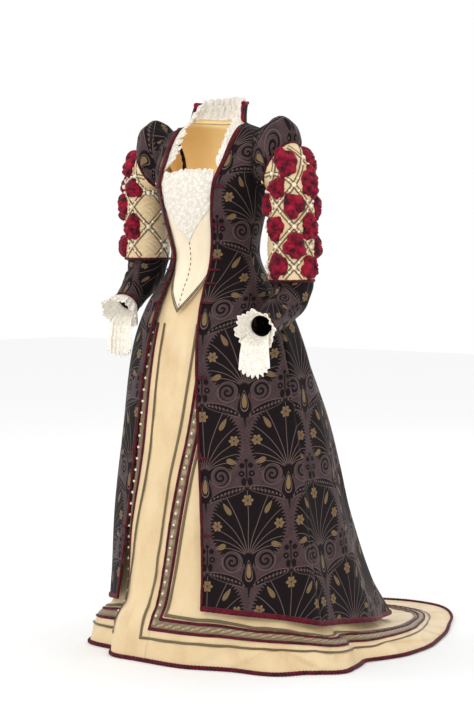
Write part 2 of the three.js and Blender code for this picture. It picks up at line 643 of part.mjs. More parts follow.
// The frill follows the front edges' inner face, then the collar's inner face
const FRILL = { firstYokeRow: 3, stations: 2, wave: 3, width: 24, lift: 9, inside: [1.4, 5, 8] };
function frillAnchors() {
  const inward = (x) => new THREE.Vector3(-Math.sign(x) * 0.7, 0.3, 0.65).normalize();
  const fromFront = (grid, column) => {
    const list = [];
    for (let k = FRILL.firstYokeRow; k < YOKE_STEPS; k += 1) {
      const key = grid.index(YOKE_ROW + k, column);
      const inside = -VELVET - FRILL.inside[0];
      const base = grid.points[key].clone().addScaledVector(grid.normals[key], inside);
      const way = inward(base.x);
      list.push([0, 0.5, 1].map((share) => base.clone().addScaledVector(way, FRILL.width * share)));
    }
    return list;
  };
  const fromCollar = (j) => FRILL.inside.map((inside, row) => {
    const key = collar.index(row, j);
    const point = collar.points[key].clone().addScaledVector(collar.normals[key], -VELVET - inside);
    return point.add(new THREE.Vector3(0, 0, FRILL.lift));
  });
  return [
    ...fromFront(frontLeft, 0),
    ...Array.from({ length: COLLAR_COLUMNS + 1 }, (_, j) => fromCollar(j)),
    ...fromFront(frontRight, FRONT_COLUMNS).reverse(),
  ];
}

function laceFrill() {
  const anchors = frillAnchors();
  const columns = (anchors.length - 1) * FRILL.stations + 1;
  const rows = FRILL.inside.length;
  const frill = new ClothGrid(rows, columns, (i, j) => {
    const k = Math.min(Math.floor(j / FRILL.stations), anchors.length - 2);
    const point = anchors[k][i].clone().lerp(anchors[k + 1][i], j / FRILL.stations - k);
    const out = new THREE.Vector3(point.x, point.y, 0).normalize();
    const wave = FRILL.wave * Math.cos(Math.PI * j) * (i / 2);
    return { point: point.addScaledVector(out, wave), normal: null };
  });
  const cells = frill.cells(0, rows - 1, 0, columns - 1);
  addPiece('lace_frill', wall(frill, cells, -LACE / 2, LACE / 2), IVORY, 0.9);
}

// Sleeve head and upper sleeve turn about a line under the arm: near and far are distances from that line
const ARM_PIVOT = { x: 172, y: 10, z: 1178 };
const SLEEVE_HEAD = [
  { turn: 5, near: 14, far: 184, depth: 66 },
  { turn: 11, near: 13, far: 195, depth: 70 },
  { turn: 18, near: 12, far: 190, depth: 71 },
  { turn: 25, near: 12, far: 170, depth: 67 },
  { turn: 30, near: 12, far: 146, depth: 61 },
  { turn: 40, near: 12, far: 138, depth: 59 },
  { turn: 50, near: 12, far: 133, depth: 58 },
  { turn: 60, near: 12, far: 130, depth: 57 },
  { turn: 70, near: 12, far: 128, depth: 57 },
  { turn: 80, near: 12, far: 126, depth: 57 },
  { turn: 90, near: 12, far: 125, depth: 57 },
];
const CAP_ROW = 5;
const STRAIGHT_ROW = SLEEVE_HEAD.length;
const ROW_PITCH = 16.8;

// Lower arm stations below the upper sleeve, relative to its end: forward is -Y
const ARMS = [
  {
    side: 'left',
    sign: 1,
    straightRows: 13,
    lower: [
      { out: 2, forward: -2, down: 18, radius: 51 },
      { out: 5, forward: 12, down: 42, radius: 48 },
      { out: 12, forward: 47, down: 66, radius: 43 },
      { out: 24, forward: 92, down: 84, radius: 39 },
      { out: 40, forward: 142, down: 98, radius: 36 },
      { out: 56, forward: 190, down: 108, radius: 33 },
    ],
    puffs: [[7, 2], [7, 14], [10, 0], [10, 4], [10, 12], [13, 2], [13, 6], [13, 14], [16, 0], [16, 4],
      [16, 12], [19, 2], [19, 14], [22, 0], [22, 4]],
  },
  {
    side: 'right',
    sign: -1,
    straightRows: 10,
    lower: [
      { out: 1, forward: 0, down: 20, radius: 51 },
      { out: 1, forward: 14, down: 46, radius: 47 },
      { out: 0, forward: 38, down: 72, radius: 42 },
      { out: -3, forward: 64, down: 96, radius: 37 },
      { out: -6, forward: 88, down: 115, radius: 33 },
    ],
    puffs: [[7, 2], [7, 14], [10, 0], [10, 4], [10, 12], [13, 2], [13, 14], [16, 0], [16, 4], [16, 12],
      [19, 2], [19, 14]],
  },
];

// All rings of a sleeve after the armhole: centre, two axes and half widths, for the wearer's left
function sleeveRings(arm) {
  const rings = [];
  for (const { turn, near, far, depth } of SLEEVE_HEAD) {
    const angle = THREE.MathUtils.degToRad(turn);
    const away = new THREE.Vector3(Math.sin(angle), 0, Math.cos(angle));
    const pivot = new THREE.Vector3(ARM_PIVOT.x, ARM_PIVOT.y, ARM_PIVOT.z);
    const centre = pivot.addScaledVector(away, (near + far) / 2);
    rings.push({ centre, a: away, b: new THREE.Vector3(0, -1, 0), ra: (far - near) / 2, rb: depth });
  }
  const last = rings[rings.length - 1];
  for (let k = 1; k <= arm.straightRows; k += 1) {
    const centre = last.centre.clone().add(new THREE.Vector3(0, 0, -k * ROW_PITCH));
    rings.push({ ...last, centre });
  }
  const end = rings[rings.length - 1].centre;
  const stations = arm.lower.map(({ out, forward, down }) => end.clone().add(new THREE.Vector3(out, -forward, -down)));
  stations.forEach((centre, k) => {
    const before = k === 0 ? end : stations[k - 1];
    const after = stations[Math.min(k + 1, stations.length - 1)];
    const along = after.clone().sub(before).normalize();
    const a = new THREE.Vector3(1, 0, 0).addScaledVector(along, -along.x).normalize();
    const b = along.clone().cross(a);
    const radius = arm.lower[k].radius;
    rings.push({ centre, a, b, ra: radius, rb: radius, along });
  });
  return rings;
}

const mirrorPoint = (point, sign) => new THREE.Vector3(point.x * sign, point.y, point.z);

function armholePoint(j) {
  const k = j <= YOKE_STEPS ? YOKE_STEPS - j : j - YOKE_STEPS;
  const front = j <= YOKE_STEPS;
  const grid = front ? frontLeft : robeBack;
  const key = grid.index(YOKE_ROW + k, front ? FRONT_COLUMNS : 0);
  const centre = new THREE.Vector3(grid.points[key].x, ARMHOLE.y, ARMHOLE.z);
  const inward = centre.sub(grid.points[key]).setLength(SEAM_GAP + 0.4);
  return grid.points[key].clone().add(inward).add(new THREE.Vector3(SEAM_GAP, 0, 0));
}

function sleeveGrid(arm, rings) {
  return new ClothGrid(rings.length + 1, SLEEVE_COLUMNS, (i, j) => {
    const column = arm.sign > 0 ? j : (SLEEVE_COLUMNS - j) % SLEEVE_COLUMNS;
    if (i === 0) return { point: mirrorPoint(armholePoint(column), arm.sign), normal: null };
    const { centre, a, b, ra, rb } = rings[i - 1];
    const theta = (2 * Math.PI * column) / SLEEVE_COLUMNS;
    const point = centre.clone().addScaledVector(a, ra * Math.cos(theta));
    return { point: mirrorPoint(point.addScaledVector(b, rb * Math.sin(theta)), arm.sign), normal: null };
  }, true);
}

// A six-sided puff: four cells with a half cell above and below, raised in the middle
function puffTriangles(grid, row, column) {
  const at = (i, j) => grid.index(row + i, column + j);
  return [
    ...grid.cells(row - 1, row + 1, column - 1, column + 1),
    [at(-2, 0), at(-1, 1), at(-1, 0)],
    [at(-2, 0), at(-1, 0), at(-1, -1)],
    [at(2, 0), at(1, 0), at(1, 1)],
    [at(2, 0), at(1, -1), at(1, 0)],
  ];
}

function sleevePieces(arm) {
  const rings = sleeveRings(arm);
  const grid = sleeveGrid(arm, rings);
  const upperEnd = STRAIGHT_ROW + arm.straightRows;
  const end = rings.length;
  const stretch = (name, from, to, sides, color, roughness, thickness) => {
    const moved = seamShift(grid, from, to, 0, SLEEVE_COLUMNS - 1, sides);
    const cells = grid.cells(from, to, 0, SLEEVE_COLUMNS);
    addPiece(`${name}_${arm.side}`, wall(grid, cells, -thickness, 0, moved), color, roughness);
  };
  stretch('sleeve_head', 0, CAP_ROW, ['top'], VELVET_DARK, 0.9, VELVET);
  stretch('upper_sleeve', CAP_ROW, upperEnd, ['bottom', 'top'], CREAM, 0.45, SILK);
  stretch('lower_sleeve', upperEnd, end, ['bottom'], VELVET_DARK, 0.9, VELVET);
  arm.puffs.forEach(([row, column], k) => {
    const place = arm.sign > 0 ? column : SLEEVE_COLUMNS - column;
    const middle = grid.index(row, place);
    const shoulders = [grid.index(row - 1, place), grid.index(row + 1, place)];
    const heightAt = (key) => {
      if (key === middle) return LAYER_GAP + PUFF_HEIGHT;
      return LAYER_GAP + (shoulders.includes(key) ? 0.8 * PUFF_HEIGHT : PUFF_RIM);
    };
    const number = String(k + 1).padStart(2, '0');
    const geometry = wall(grid, puffTriangles(grid, row, place), LAYER_GAP + 0.2, heightAt);
    addPiece(`puff_${arm.side}_${number}`, geometry, CRIMSON, 0.8);
  });
  laceCuff(arm, rings[end - 1]);
}

// Lace cuff: a flared, waved cone that starts inside the wrist, with pairs of gaps cut through its mesh
const CUFF_RINGS = [
  { along: -6, radius: 28.6, wave: 0 },
  { along: 1, radius: 29.3, wave: 0.3 },
  { along: 16, radius: 39, wave: 2 },
  { along: 32, radius: 46, wave: 4 },
  { along: 44, radius: 50, wave: 5 },
];
const UNDER_LACE = [
  { along: -2, radius: 25.2, drop: 0, wave: 0 },
  { along: 24, radius: 31, drop: 0, wave: 1 },
  { along: 50, radius: 36, drop: 2, wave: 3 },
  { along: 58, radius: 40, drop: 34, wave: 4 },
  { along: 60, radius: 42, drop: 68, wave: 5 },
];
const UNDER_LACE_COLUMNS = 14;
const UNDER_LACE_HALF_ANGLE = THREE.MathUtils.degToRad(62);

function wristPoint(arm, ring, along, radius, theta, drop) {
  const point = ring.centre.clone().addScaledVector(ring.along, along);
  point.addScaledVector(ring.a, radius * Math.cos(theta)).addScaledVector(ring.b, radius * Math.sin(theta));
  point.z -= drop;
  return mirrorPoint(point, arm.sign);
}

function laceCuff(arm, ring) {
  const cuff = new ClothGrid(CUFF_RINGS.length, CUFF_COLUMNS, (i, j) => {
    const { along, radius, wave } = CUFF_RINGS[i];
    const theta = (arm.sign * 2 * Math.PI * j) / CUFF_COLUMNS;
    const waved = radius + wave * Math.cos((2 * Math.PI * CUFF_WAVES * j) / CUFF_COLUMNS);
    return { point: wristPoint(arm, ring, along, waved, theta, 0), normal: null };
  }, true);
  const solid = (i, j) => !((i === 2 && j % 4 === 1) || (i === 1 && j % 4 === 3));
  const cells = cuff.cells(0, CUFF_RINGS.length - 1, 0, CUFF_COLUMNS, solid);
  addPiece(`lace_cuff_${arm.side}`, wall(cuff, cells, -LACE, 0), IVORY, 0.9);
  const under = new ClothGrid(UNDER_LACE.length, UNDER_LACE_COLUMNS + 1, (i, j) => {
    const { along, radius, drop, wave } = UNDER_LACE[i];
    const share = (2 * j) / UNDER_LACE_COLUMNS - 1;
    const theta = 1.5 * Math.PI + arm.sign * share * UNDER_LACE_HALF_ANGLE;
    const waved = radius + wave * Math.cos(Math.PI * j);
    return { point: wristPoint(arm, ring, along, waved, theta, drop), normal: null };
  });
  const hanging = under.cells(0, UNDER_LACE.length - 1, 0, UNDER_LACE_COLUMNS);
  addPiece(`under_lace_${arm.side}`, wall(under, hanging, -LACE / 2, LACE / 2), IVORY, 0.9);
}

robePanels();
robeBands();
backLining();
bodicePieces();
skirtPieces();
collarPieces();
laceFrill();
ARMS.forEach(sleevePieces);

export default dress;
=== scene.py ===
"""Dressed scene of a Tudor dress: an open figured-velvet robe over a cream satin gown with a train.

Sizes are in millimetres above the floor while a shape is worked out, and in metres in the row frame once it is a mesh.
The wearer's front is -Y, her left is +X and up is +Z. Angles run from the centre front towards the wearer's left.
"""

import logging
import math
from dataclasses import dataclass
from enum import Enum

import bmesh
import bpy
import numpy as np
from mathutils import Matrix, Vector
from numpy.typing import NDArray


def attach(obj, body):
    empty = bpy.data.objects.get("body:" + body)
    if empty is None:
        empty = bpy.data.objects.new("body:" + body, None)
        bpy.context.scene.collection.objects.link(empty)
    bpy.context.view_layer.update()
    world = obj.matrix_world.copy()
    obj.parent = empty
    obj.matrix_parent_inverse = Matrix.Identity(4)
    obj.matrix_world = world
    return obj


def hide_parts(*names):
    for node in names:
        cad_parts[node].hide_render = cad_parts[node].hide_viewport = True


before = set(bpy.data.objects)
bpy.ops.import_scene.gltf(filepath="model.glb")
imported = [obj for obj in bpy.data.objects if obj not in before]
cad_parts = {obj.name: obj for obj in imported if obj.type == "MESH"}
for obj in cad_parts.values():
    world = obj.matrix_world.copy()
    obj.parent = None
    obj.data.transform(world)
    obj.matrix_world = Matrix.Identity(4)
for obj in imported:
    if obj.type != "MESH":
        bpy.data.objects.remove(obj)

Array = NDArray[np.float64]
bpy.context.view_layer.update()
LOG = logging.getLogger("dress")
SHOULDER = 1330.0
QUARTER = math.pi / 2
VELVET = 2.5
SILK = 1.5
LACE = 1.2


def table(names: str, *rows: tuple[float, ...]) -> dict[str, Array]:
    """A table of numbers with named columns.

    Args:
        names: the column names, parted by spaces.
        rows: the rows.

    Returns:
        One array per column.
    """
    values = np.array(rows, float)
    return {name: values[:, k] for k, name in enumerate(names.split())}


ROBE_SECTIONS = table(
    "height rear side front back square",
    (143, 40, 330, 222, 600, 2), (158, 60, 328, 221, 585, 2), (220, 150, 318, 214, 507, 2),
    (360, 330, 300, 205, 420, 2), (480, 470, 283, 199, 368, 2), (600, 600, 264, 193, 320, 2),
    (700, 700, 250, 187, 270, 2), (800, 800, 230, 175, 224, 2), (880, 880, 199, 154, 192, 2),
    (940, 940, 162, 129, 155, 2), (970, 970, 140, 112, 131, 2), (1000, 1000, 126, 102, 115, 2),
    (1030, 1030, 121, 102, 108, 2), (1060, 1060, 122, 109, 107, 2.05), (1100, 1100, 130, 120, 110, 2.1),
    (1150, 1150, 142, 129, 117, 2.2), (1200, 1200, 152, 129, 122, 2.4), (1230, 1230, 159, 112, 121, 2.7),
    (1262, 1262, 165, 84, 114, 3.1), (1290, 1290, 168, 64, 99, 3.6), (1313, 1313, 169, 44, 72, 4),
    (1328, 1328, 169, 24, 40, 4), (1334, 1334, 169, 0.3, 0.3, 4),
)
SKIRT_SECTIONS = table(
    "height rear side front back square",
    (0, 3, 408, 247, 950, 2), (13, 5, 402, 245, 936, 2), (50, 9, 388, 241, 885, 2), (83, 13, 370, 235, 812, 2),
    (113, 19, 345, 226, 735, 2), (143, 26, 316, 212, 578, 2), (220, 112, 292, 200, 468, 2),
    (360, 310, 274, 193, 392, 2), (520, 505, 252, 184, 322, 2), (700, 695, 230, 175, 244, 2),
    (850, 850, 188, 148, 186, 2), (940, 940, 145.8, 115.8, 139, 2), (991, 991, 119.3, 93.8, 109, 2),
)
ROBE_FOLDS = table(
    "angle depth width top",
    (40, 7, 10, 760), (62, -6, 8, 700), (84, 9, 8, 860), (100, -8, 6, 990), (114, 12, 7, 940), (131, -9, 7, 900),
    (148, 13, 7, 960), (165, -9, 7, 930), (180, 12, 7, 960), (196, -9, 7, 900), (213, 12, 7, 950),
    (230, -9, 7, 920), (247, 12, 7, 930), (261, -8, 6, 990), (278, 9, 8, 840), (298, -8, 9, 720),
)
SKIRT_FOLDS = table(
    "angle depth width top",
    (-24, 14, 8, 900), (-41, -30, 9, 420), (-60, 9, 8, 140), (-82, -13, 8, 140), (-104, 12, 8, 140),
    (-128, -12, 8, 140), (-156, 12, 9, 140), (8, 4, 8, 140), (27, -18, 10, 140), (46, 15, 9, 140),
    (62, -9, 7, 140), (80, 12, 8, 140), (97, -26, 6, 140), (112, 15, 8, 140), (138, -12, 9, 140), (164, 10, 10, 140),
)
ROBE_EDGES = table(
    "height left right",
    (143, 128, 172), (360, 112, 135), (600, 92, 104), (800, 76, 80), (900, 66, 68), (1000, 57, 59),
    (1100, 70, 70), (1200, 81, 81), (1262, 84, 84), (1334, 84, 84),
)
PANEL_SEAMS = table(
    "height left right",
    (0, -30, 186), (143, -14, 166), (280, 5, 132), (460, 34, 96), (650, 70, 76), (850, 82, 68), (985, 66, 62),
)
# Creases pressed into the velvet: centre angle and height, lean in degrees per 100 mm, half width, half length, depth
ROBE_CREASES = table(
    "angle height lean width length depth",
    (91, 640, -1.5, 2.4, 360, -12), (86, 640, -1.5, 4, 340, 7), (269, 640, 1.5, 2.4, 350, -12),
    (274, 640, 1.5, 4, 330, 7), (72, 905, 3, 5, 60, -2.2), (104, 930, -5, 5, 50, -2.5), (122, 560, 2, 4, 260, -10),
    (139, 520, 1, 4, 260, 7), (156, 480, -1, 4, 250, -9), (172, 420, 1, 4, 240, 5), (204, 470, 1, 4, 260, -9),
    (221, 500, -2, 4, 240, 6), (238, 560, 1, 4, 260, -10), (55, 420, 2, 5, 190, 3), (46, 300, -3, 5, 130, -3),
    (66, 250, 2, 5, 120, 3), (300, 420, -2, 5, 190, 3), (315, 280, 2, 5, 140, -3), (290, 905, -3, 5, 60, -2.2),
    (60, 1040, 25, 5, 30, -1.6), (75, 1025, -30, 6, 26, -1.8), (110, 1035, 20, 6, 28, -1.8),
    (128, 1020, -22, 6, 26, -1.5), (150, 1040, 18, 6, 30, -1.6), (210, 1035, -18, 6, 30, -1.6),
    (236, 1022, 22, 6, 26, -1.6), (285, 1030, 25, 6, 28, -1.7), (302, 1045, -22, 6, 28, -1.6),
    (52, 1168, 30, 6, 34, 1.8), (66, 1190, -20, 5, 36, -1.8), (306, 1172, -30, 6, 34, 1.8), (122, 1215, 25, 8, 40, -2),
    (238, 1215, -25, 8, 40, -2), (140, 1180, -12, 7, 50, 1.6), (221, 1180, 12, 7, 50, 1.6),
)
# Soft creases of the satin skirt, mostly where it breaks on the floor
SKIRT_CREASES = table(
    "angle height lean width length depth",
    (-8, 560, 0.8, 2.5, 330, -3), (2, 480, -0.6, 3.5, 360, 3), (13, 640, 1.2, 2.5, 240, -3), (-18, 330, 1, 3, 200, 3),
    (-30, 640, -1, 3, 240, -4), (22, 300, -1.5, 3, 170, -3), (-12, 120, 5, 4, 90, 4), (4, 60, -9, 4, 60, -5),
    (16, 70, 9, 4, 66, 5), (30, 52, -12, 4, 56, -6), (42, 60, 12, 4, 60, 5), (55, 50, -14, 4, 52, -6),
    (68, 62, 10, 4, 60, 6), (84, 50, -12, 4, 50, -5), (92, 70, 8, 3, 62, 7), (105, 54, -12, 4, 54, -6),
    (120, 66, 9, 5, 60, 6), (134, 60, -8, 5, 56, -5), (152, 62, 9, 5, 60, 5), (172, 56, -7, 5, 56, -5),
    (190, 60, 8, 5, 60, 5), (206, 56, -8, 5, 56, -5), (222, 60, 8, 5, 60, 5), (240, 56, -8, 5, 54, -6),
    (258, 60, 9, 4, 60, 5), (276, 54, -10, 4, 54, -5), (296, 60, 9, 4, 60, 5), (318, 60, -9, 4, 60, -5),
    (334, 210, 2, 4, 130, -5), (345, 90, 7, 4, 80, 4), (97, 62, 0, 2.2, 110, -16), (103, 66, -2, 3, 100, 9),
    (91, 60, 2, 3, 90, 7), (36, 40, 30, 3, 44, 7), (61, 36, -28, 3, 40, -7), (76, 40, 26, 3, 44, 6),
    (24, 36, 24, 3, 40, -6), (110, 44, -24, 3, 44, -7), (128, 46, 22, 4, 44, 7), (145, 44, -20, 4, 44, -7),
    (-2, 40, -20, 3, 40, -4), (10, 200, 6, 3, 60, -2.5), (-6, 260, -7, 3, 60, 2.5),
)
SHOULDER_RISE, RISE_START, SHOULDER_SEAM = 52.0, 1225.0, 8.0
TRAIN_SWING, HEM_SHIFT, SWING_START = 80.0, 35.0, 420.0
ARMHOLE_Y, ARMHOLE_Z, ARMHOLE_DEPTH, ARMHOLE_HEIGHT = 8.0, 1262.0, 52.0, 72.0
ARMPIT, TIP = ARMHOLE_Z - ARMHOLE_HEIGHT, ARMHOLE_Z + ARMHOLE_HEIGHT
NECK_SIDE, NECK_BACK, NECK_SHARE = 84.0, 78.0, 2 / 3
SIDE_SEAM = math.radians(123)
TRIM_WIDTH = 30.0


def read(rows: dict[str, Array], column: str, height: Array) -> Array:
    """Reads a column of a section table at some heights, by a smooth Hermite curve through its rows.

    Args:
        rows: the table, with a height column.
        column: the column to read.
        height: the heights.

    Returns:
        The values at the heights.
    """
    h, v = rows["height"], rows[column]
    last = len(h) - 1
    low, high = np.maximum(np.arange(last + 1) - 1, 0), np.minimum(np.arange(last + 1) + 1, last)
    slope = (v[high] - v[low]) / (h[high] - h[low])
    at = np.clip(height, h[0], h[-1])
    k = np.clip(np.searchsorted(h, at, side="right") - 1, 0, last - 1)
    span = h[k + 1] - h[k]
    t = (at - h[k]) / span
    a, b, c = 2 * t**3 - 3 * t**2 + 1, t**3 - 2 * t**2 + t, t**3 - t**2
    return a * v[k] + b * span * slope[k] + (1 - a) * v[k + 1] + c * span * slope[k + 1]


def smoothstep(x: Array, low: float, high: float) -> Array:
    """The smooth rise 3t^2 - 2t^3 from 0 at low to 1 at high."""
    t = np.clip((x - low) / (high - low), 0, 1)
    return t * t * (3 - 2 * t)


@dataclass(frozen=True)
class Cloth:
    """A garment layer as a surface of angle and height: its sections, its folds and its creases."""

    sections: dict[str, Array]
    folds: dict[str, Array]
    creases: dict[str, Array]

    def fold_depth(self, angle: Array, height: Array) -> Array:
        """Sum of bell-shaped folds that fade upwards, and of creases that fade at both ends.

        Args:
            angle: angles in radians.
            height: heights above the floor.

        Returns:
            How far the surface stands out from its plain section.
        """
        degrees = np.degrees(angle)
        depth = np.zeros(np.broadcast(angle, height).shape)
        f = self.folds
        for place, out, width, top in zip(f["angle"], f["depth"], f["width"], f["top"]):
            away = (degrees - place + 180) % 360 - 180
            depth += out * np.clip(1 - height / top, 0, 1) ** 0.7 * np.exp(-((away / width) ** 2))
        c = self.creases
        for place, middle, lean, width, length, out in zip(*(c[k] for k in c)):
            along = (height - middle) / length
            away = (degrees - place - lean * (height - middle) / 100 + 180) % 360 - 180
            depth += out * np.exp(-((away / width) ** 2)) * np.clip(1 - along**2, 0, 1) ** 1.5
        return depth

    def point(self, angle: Array, height: Array, creased: bool = True) -> Array:
        """Points of the outer face: a super-ellipse at each height, swung and lowered towards the back.

        Args:
            angle: angles in radians.
            height: heights at the front.
            creased: False for the plain section without folds.

        Returns:
            Points above the floor, with a last axis of three.
        """
        s, c = np.sin(angle), np.cos(angle)
        side = read(self.sections, "side", height)
        depth = np.where(c > 0, read(self.sections, "front", height), read(self.sections, "back", height))
        fold = self.fold_depth(angle, height) if creased else 0.0
        low = np.maximum(1 - height / SWING_START, 0) ** 2
        square = read(self.sections, "square", height)
        corner = (np.abs(s) ** square + np.abs(c) ** square) ** (-1 / square)
        x = (side + fold) * s * corner
        y = SHOULDER_SEAM * smoothstep(height, ARMHOLE_Z, TIP) - (depth + fold) * c * corner
        toward_rear = ((1 - c) / 2) ** 1.3
        swing = np.where(y > 0, TRAIN_SWING * low * (y / 950) ** 2, 0)
        slope = SHOULDER_RISE * smoothstep(height, RISE_START, TIP) * (1 - np.abs(s) * corner)
        z = height + (read(self.sections, "rear", height) - height) * toward_rear + slope
        return np.stack([x + HEM_SHIFT * low - swing, y, z], axis=-1)

    def normal(self, angle: Array, height: Array) -> Array:
        """Outward unit normals: the cross product of small steps round the form and up it."""
        angle, height = np.broadcast_arrays(angle, height)
        across = self.point(angle + 0.004, height) - self.point(angle - 0.004, height)
        up = self.point(angle, height + 1.0) - self.point(angle, height - 1.0)
        n = np.cross(across, up)
        return n / np.maximum(np.linalg.norm(n, axis=-1, keepdims=True), 1e-9)

    def angle_of_x(self, x: Array, height: Array, sign: float) -> Array:
        """The angle at which the front reaches a distance from the middle, on the left (sign 1) or right (-1)."""
        shift = HEM_SHIFT * np.maximum(1 - height / SWING_START, 0) ** 2
        return np.arcsin(np.clip((x - sign * shift) / read(self.sections, "side", height), -1, 1))


ROBE = Cloth(ROBE_SECTIONS, ROBE_FOLDS, ROBE_CREASES)
SKIRT = Cloth(SKIRT_SECTIONS, SKIRT_FOLDS, SKIRT_CREASES)


def bisect(low: Array, high: Array, beyond) -> Array:
    """Halves each interval 30 times towards the place where a test turns true.

    Args:
        low: starts, where the test is false.
        high: ends, where it is true.
        beyond: the test, on an array of middles.

    Returns:
        The places.
    """
    for _ in range(30):
        middle = (low + high) / 2
        past = beyond(middle)
        low, high = np.where(past, low, middle), np.where(past, middle, high)
    return low


def armhole_angle(height: Array, side: int) -> Array:
    """The angle of the armhole's edge, an ellipse in a plane across X, on the front (side -1) or the back (1)."""
    height = np.asarray(height, float)
    reach = np.sqrt(np.maximum(1 - ((height - ARMHOLE_Z) / ARMHOLE_HEIGHT) ** 2, 0))
    y = ARMHOLE_Y + side * ARMHOLE_DEPTH * reach
    low = np.full(height.shape, 0.1 if side < 0 else QUARTER)
    high = np.full(height.shape, QUARTER if side < 0 else math.pi - 0.1)
    found = bisect(low, high, lambda a: ROBE.point(a, height, False)[..., 1] >= y)
    return np.where((height <= ARMPIT) | (reach < 0.01), QUARTER, found)


def neck_column_angle(height: Array) -> Array:
    """The angle at which the robe's back is as wide as the neck."""
    low = np.full(np.shape(height), QUARTER)
    high = np.full(np.shape(height), math.pi)
    return bisect(low, high, lambda a: ROBE.point(a, height, False)[..., 0] <= NECK_SIDE + 1)


def back_angle(share: Array, height: Array) -> Array:
    """Angles across half the back, from the side seam (share 0) to the centre (1), evened out at the neck's corner."""
    start = armhole_angle(height, 1)
    even = start + (math.pi - start) * share
    corner = neck_column_angle(height)
    inside = start + (corner - start) * share / NECK_SHARE
    beyond = corner + (math.pi - corner) * (share - NECK_SHARE) / (1 - NECK_SHARE)
    to_neck = np.where(share <= NECK_SHARE, inside, beyond)
    return even + (to_neck - even) * smoothstep(height, ARMPIT, ARMHOLE_Z)


def neck_height(share: Array) -> Array:
    """The height at which a column of the back meets the neckline, an ellipse seen from above."""

    def inside(height: Array) -> Array:
        """True where the column is within the neckline."""
        p = ROBE.point(back_angle(share, height), height, False)
        return (p[..., 0] / NECK_SIDE) ** 2 + (p[..., 1] / NECK_BACK) ** 2 < 1

    tip = np.full(share.shape, TIP)
    return np.where(inside(tip), bisect(np.full(share.shape, ARMPIT), tip, inside), tip)


class Side(Enum):
    """The wearer's two sides, with the sign of X."""

    LEFT = 1
    RIGHT = -1

    @property
    def word(self) -> str:
        """The side's name in piece names."""
        return self.name.lower()


def robe_edge_angle(side: Side, height: Array) -> Array:
    """The angle of the robe's front edge, positive on both sides."""
    return ROBE.angle_of_x(read(ROBE_EDGES, side.word, height), height, side.value)


@dataclass
class Grid:
    """A sheet of points in rows and columns, with outward normals and a length along the cloth for each point."""

    points: Array
    closed: bool = False
    uv: Array | None = None
    normals: Array | None = None

    def __post_init__(self) -> None:
        """Works out normals from the neighbouring points, and cloth lengths from their distances."""
        if self.normals is None:
            self.normals = self._cross_normals()
        if self.uv is None:
            self.uv = self._lengths()

    def _cross_normals(self) -> Array:
        """The cross product of the steps along a row and up a column."""
        p = self.points
        if self.closed:
            across = np.roll(p, -1, axis=1) - np.roll(p, 1, axis=1)
        else:
            across = np.gradient(p, axis=1)
        up = np.gradient(p, axis=0)
        n = np.cross(across, up)
        return n / np.maximum(np.linalg.norm(n, axis=-1, keepdims=True), 1e-9)

    def _lengths(self) -> Array:
        """Lengths along each row from its first point, and up each column from row 0, in metres."""
        p = np.concatenate([self.points, self.points[:, :1]], axis=1) if self.closed else self.points
        u = np.zeros(p.shape[:2])
        v = np.zeros(p.shape[:2])
        u[:, 1:] = np.cumsum(np.linalg.norm(np.diff(p, axis=1), axis=-1), axis=1)
        v[1:] = np.cumsum(np.linalg.norm(np.diff(p, axis=0), axis=-1), axis=0)
        return np.stack([u, v], axis=-1) / 1000

    def moved(self, out: Array | float) -> Array:
        """The points moved out along their normals."""
        return self.points + self.normals * np.asarray(out)[..., None]


def to_frame(points: Array) -> Array:
    """Millimetres above the floor to metres in the row frame."""
    return (points - np.array([0, 0, SHOULDER])) / 1000


def unit(ways: Array) -> Array:
    """Vectors of length 1 along the same ways."""
    return ways / np.linalg.norm(ways, axis=-1, keepdims=True)


def make_mesh(name: str, points: Array, quads: Array, corners: Array, crisp: Array | None = None) -> bpy.types.Object:
    """Makes an object from quads.

    Args:
        name: the piece's name.
        points: points above the floor, in millimetres.
        quads: four point numbers a face.
        corners: the cloth coordinates of each face's corners.
        crisp: True for faces shaded flat.

    Returns:
        The object, with the UV map "cloth".
    """
    mesh = bpy.data.meshes.new(name)
    mesh.from_pydata(to_frame(points).tolist(), [], quads.tolist())
    mesh.uv_layers.new(name="cloth").uv.foreach_set("vector", corners.astype(np.float32).ravel())
    smooth = np.ones(len(quads), bool) if crisp is None else ~crisp
    mesh.polygons.foreach_set("use_smooth", smooth)
    mesh.update()
    obj = bpy.data.objects.new(name, mesh)
    bpy.context.scene.collection.objects.link(obj)
    return obj


def cells(rows: int, columns: int, closed: bool) -> tuple[Array, Array]:
    """Quads of a grid, and the same quads on its cloth coordinates, which have one column more when it is closed."""
    i, j = np.meshgrid(np.arange(rows - 1), np.arange(columns if closed else columns - 1), indexing="ij")
    i, j = i.ravel(), j.ravel()
    k = (j + 1) % columns
    quads = np.stack([i * columns + j, i * columns + k, (i + 1) * columns + k, (i + 1) * columns + j], axis=1)
    wide = columns + 1 if closed else columns
    lay = np.stack([i * wide + j, i * wide + j + 1, (i + 1) * wide + j + 1, (i + 1) * wide + j], axis=1)
    return quads, lay


